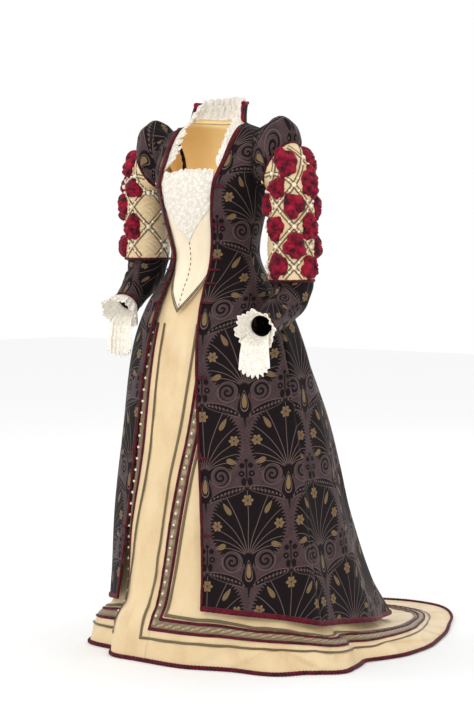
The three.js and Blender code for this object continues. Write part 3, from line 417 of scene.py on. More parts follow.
def wall(name: str, grid: Grid, inner: Array | float, outer: Array | float) -> bpy.types.Object:
    """A closed wall: the grid moved out to its outer face, the grid moved to its inner face, and a rim.

    Args:
        name: the piece's name.
        grid: the sheet.
        inner: distance of the inner face from the grid, negative inwards.
        outer: distance of the outer face.

    Returns:
        The object.
    """
    rows, columns = grid.points.shape[:2]
    quads, lay = cells(rows, columns, grid.closed)
    count = rows * columns
    points = np.concatenate([grid.moved(outer).reshape(-1, 3), grid.moved(inner).reshape(-1, 3)])
    uv = grid.uv.reshape(-1, 2)
    wide = grid.uv.shape[1]
    rims, rim_lay = [], []

    def rim(a: Array, b: Array, la: Array, lb: Array) -> None:
        """Adds rim faces from point pairs a to b."""
        rims.append(np.stack([a, a + count, b + count, b], axis=1))
        rim_lay.append(np.stack([la, la, lb, lb], axis=1))

    j = np.arange(columns if grid.closed else columns - 1)
    k = (j + 1) % columns
    rim(j, k, j, j + 1)
    top = (rows - 1) * columns
    rim(top + k, top + j, (rows - 1) * wide + j + 1, (rows - 1) * wide + j)
    if not grid.closed:
        i = np.arange(rows - 1)
        rim((i + 1) * columns, i * columns, (i + 1) * wide, i * wide)
        last = columns - 1
        rim(i * columns + last, (i + 1) * columns + last, i * wide + last, (i + 1) * wide + last)
    faces = np.concatenate([quads, quads[:, ::-1] + count, *rims])
    lays = np.concatenate([lay, lay[:, ::-1], *rim_lay])
    crisp = np.arange(len(faces)) >= 2 * len(quads)
    return make_mesh(name, points, faces, uv[lays].reshape(-1, 2), crisp)


def merge_poles(obj: bpy.types.Object) -> None:
    """Joins points that lie on one another, and drops the faces that this empties."""
    shape = bmesh.new()
    shape.from_mesh(obj.data)
    bmesh.ops.remove_doubles(shape, verts=shape.verts, dist=2e-6)
    bmesh.ops.dissolve_degenerate(shape, edges=shape.edges, dist=1e-7)
    shape.to_mesh(obj.data)
    shape.free()


def tube(name: str, path: Array, across: Array, out: Array, width: Array | float, height: Array | float,
         sides: int = 8, closed: bool = False) -> bpy.types.Object:
    """A cord of oval section along a path.

    Args:
        name: the piece's name.
        path: centre points.
        across: unit vectors across the path, in the surface it lies on.
        out: unit vectors out of that surface.
        width: half width.
        height: half height.
        sides: points round the section.
        closed: True if the path ends where it starts.

    Returns:
        The object.
    """
    turn = np.linspace(0, 2 * math.pi, sides, endpoint=False)
    w = np.broadcast_to(np.asarray(width, float), path.shape[:1])[:, None, None]
    h = np.broadcast_to(np.asarray(height, float), path.shape[:1])[:, None, None]
    ring = path[:, None] + across[:, None] * np.cos(turn)[:, None] * w + out[:, None] * np.sin(turn)[:, None] * h
    if not closed:
        ring = np.concatenate([path[:1, None].repeat(sides, 1), ring, path[-1:, None].repeat(sides, 1)])
    else:
        ring = np.concatenate([ring, ring[:1]])
    length = np.concatenate([[0], np.cumsum(np.linalg.norm(np.diff(ring.mean(axis=1), axis=0), axis=-1))]) / 1000
    u = np.broadcast_to(np.linspace(0, 1, sides + 1)[None] * 0.02, (len(ring), sides + 1))
    v = np.broadcast_to(length[:, None], u.shape)
    quads, lay = cells(len(ring), sides, True)
    obj = make_mesh(name, ring.reshape(-1, 3), quads, np.stack([u, v], -1).reshape(-1, 2)[lay].reshape(-1, 2))
    merge_poles(obj)
    face_outwards(obj)
    return obj


def face_outwards(obj: bpy.types.Object) -> None:
    """Turns the faces of a closed, single-walled shape outwards."""
    shape = bmesh.new()
    shape.from_mesh(obj.data)
    bmesh.ops.recalc_face_normals(shape, faces=shape.faces)
    shape.to_mesh(obj.data)
    shape.free()


def join(name: str, parts: list[bpy.types.Object]) -> bpy.types.Object:
    """Joins objects into one, with the first one's material.

    Args:
        name: the name of the whole.
        parts: the objects, all with a UV map "cloth".

    Returns:
        The joined object.
    """
    whole = bmesh.new()
    for part in parts:
        whole.from_mesh(part.data)
    mesh = bpy.data.meshes.new(name)
    whole.to_mesh(mesh)
    whole.free()
    for part in parts:
        bpy.data.objects.remove(part)
    obj = bpy.data.objects.new(name, mesh)
    bpy.context.scene.collection.objects.link(obj)
    return obj


def beads(name: str, centres: Array, radius: float) -> bpy.types.Object:
    """Small round beads, each a globe of 8 by 6 cells, in one mesh.

    Args:
        name: the piece's name.
        centres: the middle of each bead.
        radius: their radius.

    Returns:
        The object.
    """
    lat = np.linspace(-QUARTER, QUARTER, 7)
    lon = np.linspace(0, 2 * math.pi, 8, endpoint=False)
    globe = np.stack([np.cos(lat)[:, None] * np.cos(lon), np.cos(lat)[:, None] * np.sin(lon),
                      np.broadcast_to(np.sin(lat)[:, None], (7, 8))], axis=-1).reshape(-1, 3)
    quads, lay = cells(7, 8, True)
    points = centres[:, None] + globe[None] * radius
    faces = (quads[None] + np.arange(len(centres))[:, None, None] * len(globe)).reshape(-1, 4)
    uv = np.stack(np.meshgrid(np.arange(9) * 0.001, np.arange(7) * 0.001), axis=-1).reshape(-1, 2)
    obj = make_mesh(name, points.reshape(-1, 3), faces, np.tile(uv[lay].reshape(-1, 2), (len(centres), 1)))
    merge_poles(obj)
    return obj


class Field:
    """A number that varies over a surface, written as a sum and worked out by math nodes."""

    def __init__(self, tree: bpy.types.NodeTree, value) -> None:
        """Keeps the node tree and the socket or plain number."""
        self.tree = tree
        self.value = value

    def _node(self, operation: str, *others) -> "Field":
        """A math node of this field and others.

        Args:
            operation: the math node's operation.
            others: fields or numbers.

        Returns:
            The node's output as a field.
        """
        node = self.tree.nodes.new("ShaderNodeMath")
        node.operation = operation
        for socket, item in zip(node.inputs, (self, *others)):
            value = item.value if isinstance(item, Field) else item
            if isinstance(value, (int, float)):
                socket.default_value = float(value)
            else:
                self.tree.links.new(value, socket)
        return Field(self.tree, node.outputs[0])

    def __add__(self, other) -> "Field":
        """The sum."""
        return self._node("ADD", other)

    def __radd__(self, other) -> "Field":
        """The sum."""
        return self._node("ADD", other)

    def __sub__(self, other) -> "Field":
        """The difference."""
        return self._node("SUBTRACT", other)

    def __rsub__(self, other) -> "Field":
        """The difference from a plain number."""
        return Field(self.tree, other)._node("SUBTRACT", self)

    def __mul__(self, other) -> "Field":
        """The product."""
        return self._node("MULTIPLY", other)

    def __rmul__(self, other) -> "Field":
        """The product."""
        return self._node("MULTIPLY", other)

    def __truediv__(self, other) -> "Field":
        """The quotient."""
        return self._node("DIVIDE", other)

    def __abs__(self) -> "Field":
        """The size without its sign."""
        return self._node("ABSOLUTE")

    def least(self, other) -> "Field":
        """The smaller of two."""
        return self._node("MINIMUM", other)

    def most(self, other) -> "Field":
        """The larger of two."""
        return self._node("MAXIMUM", other)

    def fract(self) -> "Field":
        """The part after the point."""
        return self._node("FRACT")

    def ceil(self) -> "Field":
        """The next whole number."""
        return self._node("CEIL")

    def floor(self) -> "Field":
        """The whole number below."""
        return self._node("FLOOR")

    def power(self, other) -> "Field":
        """This to a power."""
        return self._node("POWER", other)

    def root(self) -> "Field":
        """The square root."""
        return self._node("SQRT")

    def sine(self) -> "Field":
        """The sine."""
        return self._node("SINE")

    def cosine(self) -> "Field":
        """The cosine."""
        return self._node("COSINE")

    def turn_to(self, other: "Field") -> "Field":
        """The angle whose tangent is this over another."""
        return self._node("ARCTAN2", other)

    def reach(self, other: "Field") -> "Field":
        """The distance from zero of this and another at right angles."""
        return (self * self + other * other).root()

    def below(self, edge, soft: float) -> "Field":
        """1 below an edge and 0 above it, with a soft step."""
        return ((edge - self) / soft + 0.5).clamp()

    def clamp(self) -> "Field":
        """This kept between 0 and 1."""
        return self.most(0.0).least(1.0)


@dataclass(frozen=True)
class Shade:
    """A colour in linear light."""

    red: float
    green: float
    blue: float

    @staticmethod
    def of(red: int, green: int, blue: int) -> "Shade":
        """A shade from display values of 0 to 255."""
        return Shade(*(((v / 255 + 0.055) / 1.055) ** 2.4 if v > 10 else v / 255 / 12.92 for v in (red, green, blue)))

    def rgba(self) -> tuple[float, float, float, float]:
        """The shade as a socket value."""
        return (self.red, self.green, self.blue, 1.0)


class Dye:
    """Builds one material: a Principled shader whose colour, roughness and relief come from fields on the cloth."""

    def __init__(self, name: str, roughness: float = 0.6, sheen: float = 0.0, sheen_roughness: float = 0.4,
                 specular: float = 0.5, metallic: float = 0.0) -> None:
        """Makes the material and its shader.

        Args:
            name: the material's name.
            roughness: the plain roughness.
            sheen: weight of the fibre sheen.
            sheen_roughness: its roughness.
            specular: specular level.
            metallic: 1 for metal.
        """
        self.material = bpy.data.materials.new(name)
        self.material.use_nodes = True
        self.tree = self.material.node_tree
        self.shader = self.tree.nodes["Principled BSDF"]
        self.shader.inputs["Roughness"].default_value = roughness
        self.shader.inputs["Sheen Weight"].default_value = sheen
        self.shader.inputs["Sheen Roughness"].default_value = sheen_roughness
        self.shader.inputs["Specular IOR Level"].default_value = specular
        self.shader.inputs["Metallic"].default_value = metallic
        self.cloth = self.tree.nodes.new("ShaderNodeUVMap")
        self.cloth.uv_map = "cloth"
        self.body = self.tree.nodes.new("ShaderNodeTexCoord")

    def lengths(self) -> tuple[Field, Field]:
        """The cloth coordinates in millimetres."""
        parts = self.tree.nodes.new("ShaderNodeSeparateXYZ")
        self.tree.links.new(self.cloth.outputs[0], parts.inputs[0])
        return Field(self.tree, parts.outputs[0]) * 1000.0, Field(self.tree, parts.outputs[1]) * 1000.0

    def noise(self, scale: float, detail: float = 3.0, stretch: tuple[float, float, float] = (1, 1, 1),
              on_cloth: bool = True) -> Field:
        """Soft random noise from 0 to 1.

        Args:
            scale: cells in a metre.
            detail: octaves.
            stretch: the pattern's scale along each axis.
            on_cloth: True to follow the cloth, False to lie in the object's space.

        Returns:
            The noise.
        """
        place = self.tree.nodes.new("ShaderNodeMapping")
        place.inputs["Scale"].default_value = stretch
        source = self.cloth.outputs[0] if on_cloth else self.body.outputs["Object"]
        self.tree.links.new(source, place.inputs[0])
        node = self.tree.nodes.new("ShaderNodeTexNoise")
        node.inputs["Scale"].default_value = scale
        node.inputs["Detail"].default_value = detail
        self.tree.links.new(place.outputs[0], node.inputs["Vector"])
        return Field(self.tree, node.outputs[0])

    def cellular(self, scale: float, feature: str = "F1") -> Field:
        """Distance to random points scattered over the cloth.

        Args:
            scale: cells in a metre.
            feature: which distance.

        Returns:
            The distance, in cells.
        """
        node = self.tree.nodes.new("ShaderNodeTexVoronoi")
        node.feature = feature
        node.voronoi_dimensions = "2D"
        node.inputs["Scale"].default_value = scale
        self.tree.links.new(self.cloth.outputs[0], node.inputs["Vector"])
        return Field(self.tree, node.outputs["Distance"])

    def blend(self, under, shade: Shade, amount: Field):
        """A colour laid over another.

        Args:
            under: a shade or a colour socket.
            shade: the colour on top.
            amount: how much of it shows.

        Returns:
            The colour socket.
        """
        node = self.tree.nodes.new("ShaderNodeMix")
        node.data_type = "RGBA"
        if isinstance(under, Shade):
            node.inputs[6].default_value = under.rgba()
        else:
            self.tree.links.new(under, node.inputs[6])
        node.inputs[7].default_value = shade.rgba()
        self.tree.links.new(amount.value, node.inputs[0])
        return node.outputs[2]

    def colour(self, socket) -> None:
        """Sets the base colour."""
        self.tree.links.new(socket, self.shader.inputs["Base Color"])

    def roughness(self, field: Field) -> None:
        """Sets a varying roughness."""
        self.tree.links.new(field.value, self.shader.inputs["Roughness"])

    def see_through(self, field: Field) -> None:
        """Sets the cover, 0 where the cloth has a gap."""
        self.tree.links.new(field.value, self.shader.inputs["Alpha"])

    def relief(self, height: Field, millimetres: float, strength: float = 1.0) -> None:
        """Sets the bump from a height.

        Args:
            height: the height, from 0 to 1.
            millimetres: how far 1 stands out.
            strength: the bump's strength.
        """
        node = self.tree.nodes.new("ShaderNodeBump")
        node.inputs["Strength"].default_value = strength
        node.inputs["Distance"].default_value = millimetres / 1000
        self.tree.links.new(height.value, node.inputs["Height"])
        self.tree.links.new(node.outputs[0], self.shader.inputs["Normal"])


@dataclass(frozen=True)
class FiguredVelvet:
    """Voided velvet: rows of fan-shaped flower palmettes in dark pile on a mauve-brown satin ground."""

    ground: Shade = Shade.of(66, 46, 50)
    pile: Shade = Shade.of(12, 4, 7)
    outline: Shade = Shade.of(118, 98, 92)
    gold: Shade = Shade.of(134, 110, 76)
    petal: Shade = Shade.of(70, 34, 32)
    repeat: float = 215.0
    pitch: float = 210.0

    def _flower(self, p: Field, q: Field, x: float, y: float, size: float) -> tuple[Field, Field]:
        """A six-petalled flower: its radius follows the cosine of three times the angle.

        Args:
            p: distance across from the palmette's middle.
            q: height above its middle.
            x: the flower's place across.
            y: its height.
            size: its radius.

        Returns:
            The petals, and the eye with the gaps between petals.
        """
        dx, dy = p - x, q - y
        r = dx.reach(dy)
        petals = abs((dy.turn_to(dx) * 3.0).cosine()) * (size * 0.42) + size * 0.58
        ring = abs(r - size * 0.5).below(0.7, 0.8)
        return r.below(petals, 1.2), r.below(size * 0.26, 1.2).most(ring * 0.8)

    def _bud(self, p: Field, q: Field, x: float, y: float, lean: float, long: float,
             wide: float) -> tuple[Field, Field]:
        """A leaning tulip: an ellipse with two dark stripes along it.

        Args:
            p: distance across.
            q: height.
            x: place across.
            y: height of its middle.
            lean: degrees from upright, outwards.
            long: half length.
            wide: half width.

        Returns:
            The bud, and its stripes.
        """
        c, s = math.cos(math.radians(lean)), math.sin(math.radians(lean))
        dx, dy = p - x, q - y
        across, along = dx * c - dy * s, dx * s + dy * c
        taper = along * (-0.35 / long) + 1.0
        bud = (across / (taper * wide)).reach(along / long)
        stripe = abs(abs(across) - wide * 0.38).below(0.6, 0.7)
        return bud.below(1.0, 0.14), stripe

    def figure(self, x: Field, y: Field) -> tuple[Field, Field, Field, Field]:
        """The whole repeat, with every second row shifted by half a palmette.

        Args:
            x: distance along the cloth's width, in millimetres.
            y: height along its length.

        Returns:
            Pile, light outlines, gold and red, each from 0 to 1.
        """
        w, h = self.repeat, self.pitch

        def fold(row: Field) -> tuple[Field, Field]:
            """Distance from the nearest palmette's middle line in a row, and height above its middle."""
            shift = (row * 0.5).fract() * w
            return abs(((x + shift) / w + 0.5).fract() - 0.5) * w, y - row * h

        p, q = fold((y / h + 0.5).floor())
        r, around = p.reach(q), p.turn_to(q)
        tooth = (abs((around * (34 / math.pi)).fract() - 0.5) * 2.0).power(0.8)
        edge = tooth * 13.0 + 88.0
        disc = r.below(edge, 1.2)
        outline = abs(r - edge - 1.6).below(0.8, 0.9) * 0.75
        up = q + 76.0
        far, lean = p.reach(up), p.turn_to(up)
        bend = far * 0.0042 + 0.58
        step = lean / bend / 0.27
        stem = (abs((step + 0.5).fract() - 0.5) * bend * far * 0.27).below(0.85, 0.9)
        stem = stem * step.below(5.4, 0.1) * (far * -1.0).below(-14.0, 6.0) * r.below(90.0, 3.0)
        gold, dark = self._flower(p, q, 0.0, 66.0, 14.5)
        for place in ((79.0, 4.0, 13.5),):
            petals, eye = self._flower(p, q, *place)
            gold, dark = gold.most(petals), dark.most(eye * petals)
        for place in ((52.0, 46.0, 33.0, 17.0, 5.6), (71.0, -48.0, 112.0, 14.0, 6.5)):
            bud, stripe = self._bud(p, q, *place)
            gold, dark = gold.most(bud), dark.most(stripe * bud)
        gold = gold * disc
        pile = disc
        light = outline.most(stem * (gold * -1.0 + 1.0))

        p, q = fold((y / h).ceil())
        dx, dy = p - 42.0, q + 84.0
        rv = dx.reach(dy)
        arm = abs((rv / 13.0 + dy.turn_to(dx) / (2 * math.pi)).fract() - 0.5) * 13.0
        whorl = rv.below(25.0, 1.4)
        curl = arm.below(3.4, 1.0) * rv.below(21.0, 1.4)
        pile = (pile * (whorl * -1.0 + 1.0)).most(curl)
        light = (light * (whorl * -1.0 + 1.0)).most(abs(rv - 25.5).below(0.8, 0.8) * 0.7)
        light = light.most(abs(arm - 3.8).below(0.5, 0.7) * whorl * 0.5)
        drop_wide = (q + 108.0) * -0.16 + 7.0
        drop = (p / drop_wide).reach((q + 108.0) / 21.0)
        pile = pile.most(drop.below(2.0, 0.1))
        light = light.most(abs(drop - 1.2).below(0.08, 0.08))
        gold = gold.most(drop.below(0.85, 0.1))
        along = ((p - 9.0) / 92.0).clamp()
        swag = along.root() * 38.0 - 152.0
        off = q - swag
        plump = (along * math.pi).sine().most(0.0).root() * 9.5
        leaf = abs(off).below(plump, 1.2) * p.below(101.0, 1.0)
        bead = (((p / 9.4).fract() - 0.5) * 9.4).reach(off).below(2.7, 0.9) * leaf
        pile = pile.most(leaf)
        outline = abs(abs(off) - plump - 1.2).below(0.7, 0.8) * along.below(0.98, 0.01)
        light = light.most(outline * (p - 9.0).clamp() * 0.8)
        foot = p.below((q + 178.0) * 0.12, 1.0) * q.below(-126.0, 1.0)
        pile = pile.most(foot * (q * -1.0).below(176.0, 1.0))
        light = light.most(bead * 0.8)
        gap = p * -1.0 + w / 2
        sprig = (gap - 11.0).reach(q + 58.0).below(6.6, 1.2).most((gap - 13.0).reach(q + 78.0).below(7.4, 1.2))
        sprig = sprig.most(gap.below(1.4, 0.8) * abs(q + 70.0).below(26.0, 1.0))
        sprig = sprig.most(gap.reach(q + 46.0).below(4.5, 1.0))
        sprig = sprig.most((gap - 8.0).reach((q + 98.0) * 0.6).below(6.0, 1.2))
        sprig = sprig.most(gap.below((q + 128.0) * 0.5, 1.0) * abs(q + 120.0).below(8.0, 1.0))
        pile = pile.most(sprig)
        light = light.most((gap - 13.0).reach(q + 78.0).below(2.2, 0.8) * 0.7)
        vein = abs((x * 0.5).sine() + (y * 0.43).sine() + (x * 0.19 + y * 0.23).sine()).below(0.34, 0.3)
        light = light.most(vein * (pile * -1.0 + 1.0) * 0.16)
        return pile, light, gold, dark

    def material(self) -> bpy.types.Material:
        """The figured velvet, with raised pile, ribbed ground and a little wear."""
        dye = Dye("figured_velvet", sheen=0.03, sheen_roughness=0.35, specular=0.18)
        x, y = dye.lengths()
        drift = dye.noise(9.0, 2.0)
        fuzz = dye.noise(900.0, 2.0)
        rib = ((x * 4.6).sine() * 0.5 + 0.5)
        pile, light, gold, dark = self.figure(x + (drift - 0.5) * 7.0 + (fuzz - 0.5) * 0.9, y + (fuzz - 0.5) * 0.9)
        wear = dye.noise(30.0, 4.0)
        mauve = dye.blend(self.ground, Shade.of(36, 20, 25), ((wear - 0.3) * 1.9).clamp() * 0.85)
        mauve = dye.blend(mauve, Shade.of(104, 82, 78), ((fuzz - 0.45) * 2.2).clamp() * (rib * 0.4 + 0.3))
        cloth = dye.blend(mauve, self.pile, pile * 0.96)
        cloth = dye.blend(cloth, Shade.of(34, 15, 20), pile * ((wear - 0.5) * 1.8).clamp())
        cloth = dye.blend(cloth, self.outline, light * (fuzz * 0.7 + 0.45).clamp())
        cloth = dye.blend(cloth, self.gold, gold * (fuzz * 0.5 + 0.55).clamp())
        cloth = dye.blend(cloth, self.petal, dark * gold * 0.8)
        dye.colour(cloth)
        dye.roughness(pile * 0.25 + gold * -0.15 + 0.58)
        dye.relief(pile * (gold * -0.6 + 1.0) * (light * -0.7 + 1.0) * 0.8 + fuzz * 0.22 + rib * 0.05, 1.6, 0.85)
        return dye.material


@dataclass(frozen=True)
class Satin:
    """Ribbed silk satin: fine cross ribs, soft creases with painted shade along them, and a slightly uneven colour with
    large patches of painted light and an optional painted glow.
    """

    name: str
    base: Shade
    shadow: Shade
    aged: Shade
    crease: float = 2.2
    roughness: float = 0.42
    glow: float = 0.0

    def material(self) -> bpy.types.Material:
        """The satin's material."""
        dye = Dye(self.name, self.roughness, sheen=0.06, specular=0.4)
        x, y = dye.lengths()
        clouds = dye.noise(7.0, 3.0)
        crease_and_shade = dye.noise(9.0, 4.0, (1.5, 0.8, 1))
        ripple = dye.noise(26.0, 3.0, (0.5, 2.4, 1))
        # Painted glow: emission that makes the cloth shine as if lit from behind.
        dye.shader.inputs["Emission Color"].default_value = (1.0, 0.66, 0.26, 1.0)
        dye.shader.inputs["Emission Strength"].default_value = self.glow
        slub = dye.noise(420.0, 2.0, (0.25, 3.0, 1))
        rib = ((y * 5.2).sine() * 0.5 + 0.5)
        # Painted light: a lighter shade laid in large random patches where the cloud noise is high.
        cloth = dye.blend(self.base, self.aged, (clouds - 0.42).clamp() * 1.9)
        # Painted shade: the shadow shade where the crease noise is high, the same noise that gives the crease relief.
        cloth = dye.blend(cloth, self.shadow, (crease_and_shade - 0.46).clamp() * 1.5)
        cloth = dye.blend(cloth, Shade.of(252, 244, 224), (slub - 0.5).clamp() * 0.9)
        dye.colour(cloth)
        dye.roughness(crease_and_shade * 0.2 + (self.roughness - 0.1))
        dye.relief(crease_and_shade * 0.55 + ripple * 0.35 + rib * 0.012 + slub * 0.02, self.crease, 0.7)
        return dye.material


@dataclass(frozen=True)
class PlainVelvet:
    """Plain velvet in one colour, with a lighter copy of it painted on in random patches as highlights."""

    name: str
    deep: Shade
    lit: Shade
    grain: float = 46.0

    def material(self) -> bpy.types.Material:
        """The velvet's material."""
        dye = Dye(self.name, 0.78, sheen=0.14, sheen_roughness=0.35, specular=0.25)
        nap_and_highlight = dye.noise(self.grain, 4.0, on_cloth=False)
        fuzz = dye.noise(1100.0, 2.0, on_cloth=False)
        # Painted highlight: the lit shade in random patches of the nap noise, which also gives the relief.
        cloth = dye.blend(self.deep, self.lit, ((nap_and_highlight - 0.36) * 2.4).clamp())
        cloth = dye.blend(cloth, self.deep, (fuzz - 0.45).clamp() * 0.9)
        dye.colour(cloth)
        dye.relief(nap_and_highlight * 0.6 + fuzz * 0.25, 1.6, 0.7)
        return dye.material


@dataclass(frozen=True)
class MetalBraid:
    """Flat braid of dull gold and olive thread: slanting plaits, crossed in the middle of the wide one."""

    name: str
    thread: Shade
    dark: Shade
    light: Shade
    plait: float
    figured: bool

    def material(self) -> bpy.types.Material:
        """The braid's material."""
        dye = Dye(self.name, 0.46, sheen=0.05, specular=0.6)
        x, y = dye.lengths()
        one = ((x + y) * (math.pi / self.plait)).sine()
        two = ((x - y) * (math.pi / self.plait)).sine()
        weave = (one.most(two) * 0.5 + 0.5).clamp()
        fuzz = dye.noise(700.0, 2.0)
        cloth = dye.blend(self.dark, self.thread, weave)
        cloth = dye.blend(cloth, self.light, (one * two).clamp() * (fuzz * 0.8 + 0.2))
        height = weave
        if self.figured:
            mid = (x / 26.0).fract() - 0.5
            lozenge = (abs(mid) * 26.0 + abs(y - 12.0) * 1.25)
            shape = lozenge.below(8.5, 1.2) * (lozenge * -1.0).below(-4.2, 1.2)
            cloth = dye.blend(cloth, self.light, shape * 0.9)
            cloth = dye.blend(cloth, Shade.of(150, 124, 122), lozenge.below(3.4, 1.0) * 0.8)
            cloth = dye.blend(cloth, self.dark, abs(abs(mid) - 0.42).below(0.035, 0.02) * 0.8)
            height = weave * 0.5 + shape * 0.5
        dye.colour(cloth)
        dye.relief(height * 0.8 + fuzz * 0.2, 0.9, 0.8)
        return dye.material


@dataclass(frozen=True)
class NeedleLace:
    """Ivory lace: small raised flowers of thread on a fine net that lets light through."""

    name: str = "lace"
    thread: Shade = Shade.of(247, 242, 232)
    shadow: Shade = Shade.of(226, 217, 200)
    flower: float = 11.0
    open_net: bool = True
    glow: float = 0.14

    def material(self) -> bpy.types.Material:
        """The lace's material."""
        dye = Dye(self.name, 0.85, sheen=0.15, specular=0.2)
        # Painted glow: emission that makes the lace shine as if light came through it.
        dye.shader.inputs["Emission Color"].default_value = (1.0, 0.95, 0.86, 1.0)
        dye.shader.inputs["Emission Strength"].default_value = self.glow
        x, y = dye.lengths()
        scale = 1000.0 / self.flower
        d = dye.cellular(scale)
        rim = dye.cellular(scale, "DISTANCE_TO_EDGE")
        fine = dye.cellular(scale * 3.1)
        petals = abs(d - 0.24).below(0.09, 0.06).most(d.below(0.1, 0.05))
        petals = petals.most(fine.below(0.26, 0.1) * d.below(0.52, 0.05))
        cord = rim.below(0.055, 0.04)
        mesh = abs(((x + y) * 1.7).sine()).below(0.42, 0.2).most(abs(((x - y) * 1.7).sine()).below(0.42, 0.2))
        work = petals.most(cord)
        cover = work.most(mesh * 0.25 + 0.7)
        cloth = dye.blend(self.shadow, self.thread, work.most(mesh * 0.7))
        cloth = dye.blend(cloth, Shade.of(252, 249, 240), petals * dye.noise(300.0) * 0.8)
        dye.colour(cloth)
        if self.open_net:
            dye.see_through(cover.most(0.0))
        dye.relief(work * 0.8 + mesh * 0.2, 1.1, 0.6)
        return dye.material


@dataclass(frozen=True)
class Hard:
    """A small hard thing of one colour with a faint stain: pearl, hook or eye."""

    name: str
    base: Shade
    stain: Shade
    roughness: float
    metallic: float = 0.0

    def material(self) -> bpy.types.Material:
        """The material."""
        dye = Dye(self.name, self.roughness, specular=0.7, metallic=self.metallic)
        stain = dye.noise(160.0, 2.0, on_cloth=False)
        dye.colour(dye.blend(self.base, self.stain, (stain - 0.4).clamp() * 1.8))
        dye.relief(stain, 0.2, 0.3)
        return dye.material


class Finish(Enum):
    """Every finish of the dress, with a slot name."""

    FIGURED = (FiguredVelvet(), "velvet")
    # In each satin the second shade is painted shade and the third is painted light.
    CREAM = (Satin("cream_satin", Shade.of(222, 195, 149), Shade.of(184, 144, 92), Shade.of(236, 212, 174), 3.4),
             "cream_silk")
    PALE = (Satin("pale_satin", Shade.of(238, 222, 194), Shade.of(212, 186, 148), Shade.of(244, 230, 208), 1.8),
            "cream_silk")
    # The second shade of each plain velvet is its painted highlight.
    HEM = (PlainVelvet("hem_velvet", Shade.of(68, 0, 20), Shade.of(112, 3, 34), 70.0), "crimson_silk")
    DARK = (PlainVelvet("dark_velvet", Shade.of(12, 4, 7), Shade.of(40, 24, 28), 70.0), "velvet")
    # The lining's last number is its painted glow.
    LINING = (Satin("golden_lining", Shade.of(252, 220, 152), Shade.of(242, 198, 122), Shade.of(253, 233, 188), 1.2,
                    0.6, 0.16), "lining_silk")
    CRIMSON = (PlainVelvet("crimson_velvet", Shade.of(54, 0, 20), Shade.of(188, 8, 52), 64.0), "crimson_silk")
    EDGING = (PlainVelvet("crimson_edging", Shade.of(54, 0, 12), Shade.of(104, 4, 26), 90.0), "crimson_silk")
    BURGUNDY = (PlainVelvet("burgundy_velvet", Shade.of(60, 0, 20), Shade.of(106, 4, 38), 80.0), "burgundy_velvet")
    BRAID = (MetalBraid("olive_braid", Shade.of(104, 86, 50), Shade.of(44, 34, 19), Shade.of(176, 154, 100), 2.2,
                        False), "gold_braid")
    GALLOON = (MetalBraid("figured_braid", Shade.of(124, 104, 74), Shade.of(74, 56, 46), Shade.of(186, 164, 112), 2.6,
                          True), "gold_braid")
    LACE = (NeedleLace(), "lace")
    PLASTRON = (NeedleLace("lace_on_silk", Shade.of(246, 241, 231), Shade.of(208, 196, 174), 9.0, False, 0.0), "lace")
    PEARL = (Hard("pearl", Shade.of(240, 232, 214), Shade.of(206, 190, 160), 0.22), "lace")
    HOOK = (Hard("hook_metal", Shade.of(120, 104, 78), Shade.of(70, 60, 46), 0.4, 0.8), "gold_braid")


class Wardrobe:
    """Makes each material once and dresses pieces in it."""

    def __init__(self) -> None:
        """Starts with no material made."""
        self.made: dict[Finish, bpy.types.Material] = {}

    def dress(self, obj: bpy.types.Object, finish: Finish, *nodes: str) -> bpy.types.Object:
        """Gives a piece its finish, its body and the nodes it stands for.

        Args:
            obj: the piece.
            finish: its finish.
            nodes: the CAD nodes that it replaces.

        Returns:
            The piece.
        """
        if finish not in self.made:
            self.made[finish] = finish.value[0].material()
        obj.data.materials.clear()
        obj.data.materials.append(self.made[finish])
        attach(obj, "root")
        if nodes:
            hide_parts(*nodes)
        LOG.info("%s: %d faces", obj.name, len(obj.data.polygons))
        return obj


def declare(obj: bpy.types.Object, grid: Grid, held: str, *rests_on: str) -> None:
    """Works out the size of the rectangle that a piece of cloth was cut from, and logs it.

    Args:
        obj: the piece.
        grid: the grid that it was made from.
        held: how it is held; not used.
        rests_on: nodes or pieces that carry it; not used.
    """
    p = np.concatenate([grid.points, grid.points[:, :1]], axis=1) if grid.closed else grid.points
    across, up = np.diff(p, axis=1), np.diff(p, axis=0)
    width = np.linalg.norm(across, axis=-1).sum(axis=1).max() / 1000
    length = np.linalg.norm(up, axis=-1).sum(axis=0).max() / 1000
    area = np.linalg.norm(np.cross(across[:-1], up[:, :-1]), axis=-1).sum() / 1e6
    share = min(max(area / (width * length), 0.3), 1.0)
    flat = (round(width + 0.004, 3), round(length + 0.004, 3))
    round(share * flat[0] * flat[1], 4)
    LOG.info("%s was cut %.2f by %.2f m", obj.name, *flat)


def panel_lay(points: Array, from_last: bool, waist_row: int) -> Array:
    """Cloth coordinates of a long panel: across from its first or last column, and up, with a palmette's middle at 0.

    Args:
        points: the panel's points.
        from_last: True to measure across from the last column.
        waist_row: the row at the waist.

    Returns:
        The coordinates in metres.
    """
    lay = Grid(points, normals=points).uv
    u, v = lay[..., 0], lay[..., 1]
    if from_last:
        u = u[:, -1:] - u
    return np.stack([u - 0.125, v - v[waist_row:waist_row + 1] + 0.67], axis=-1)


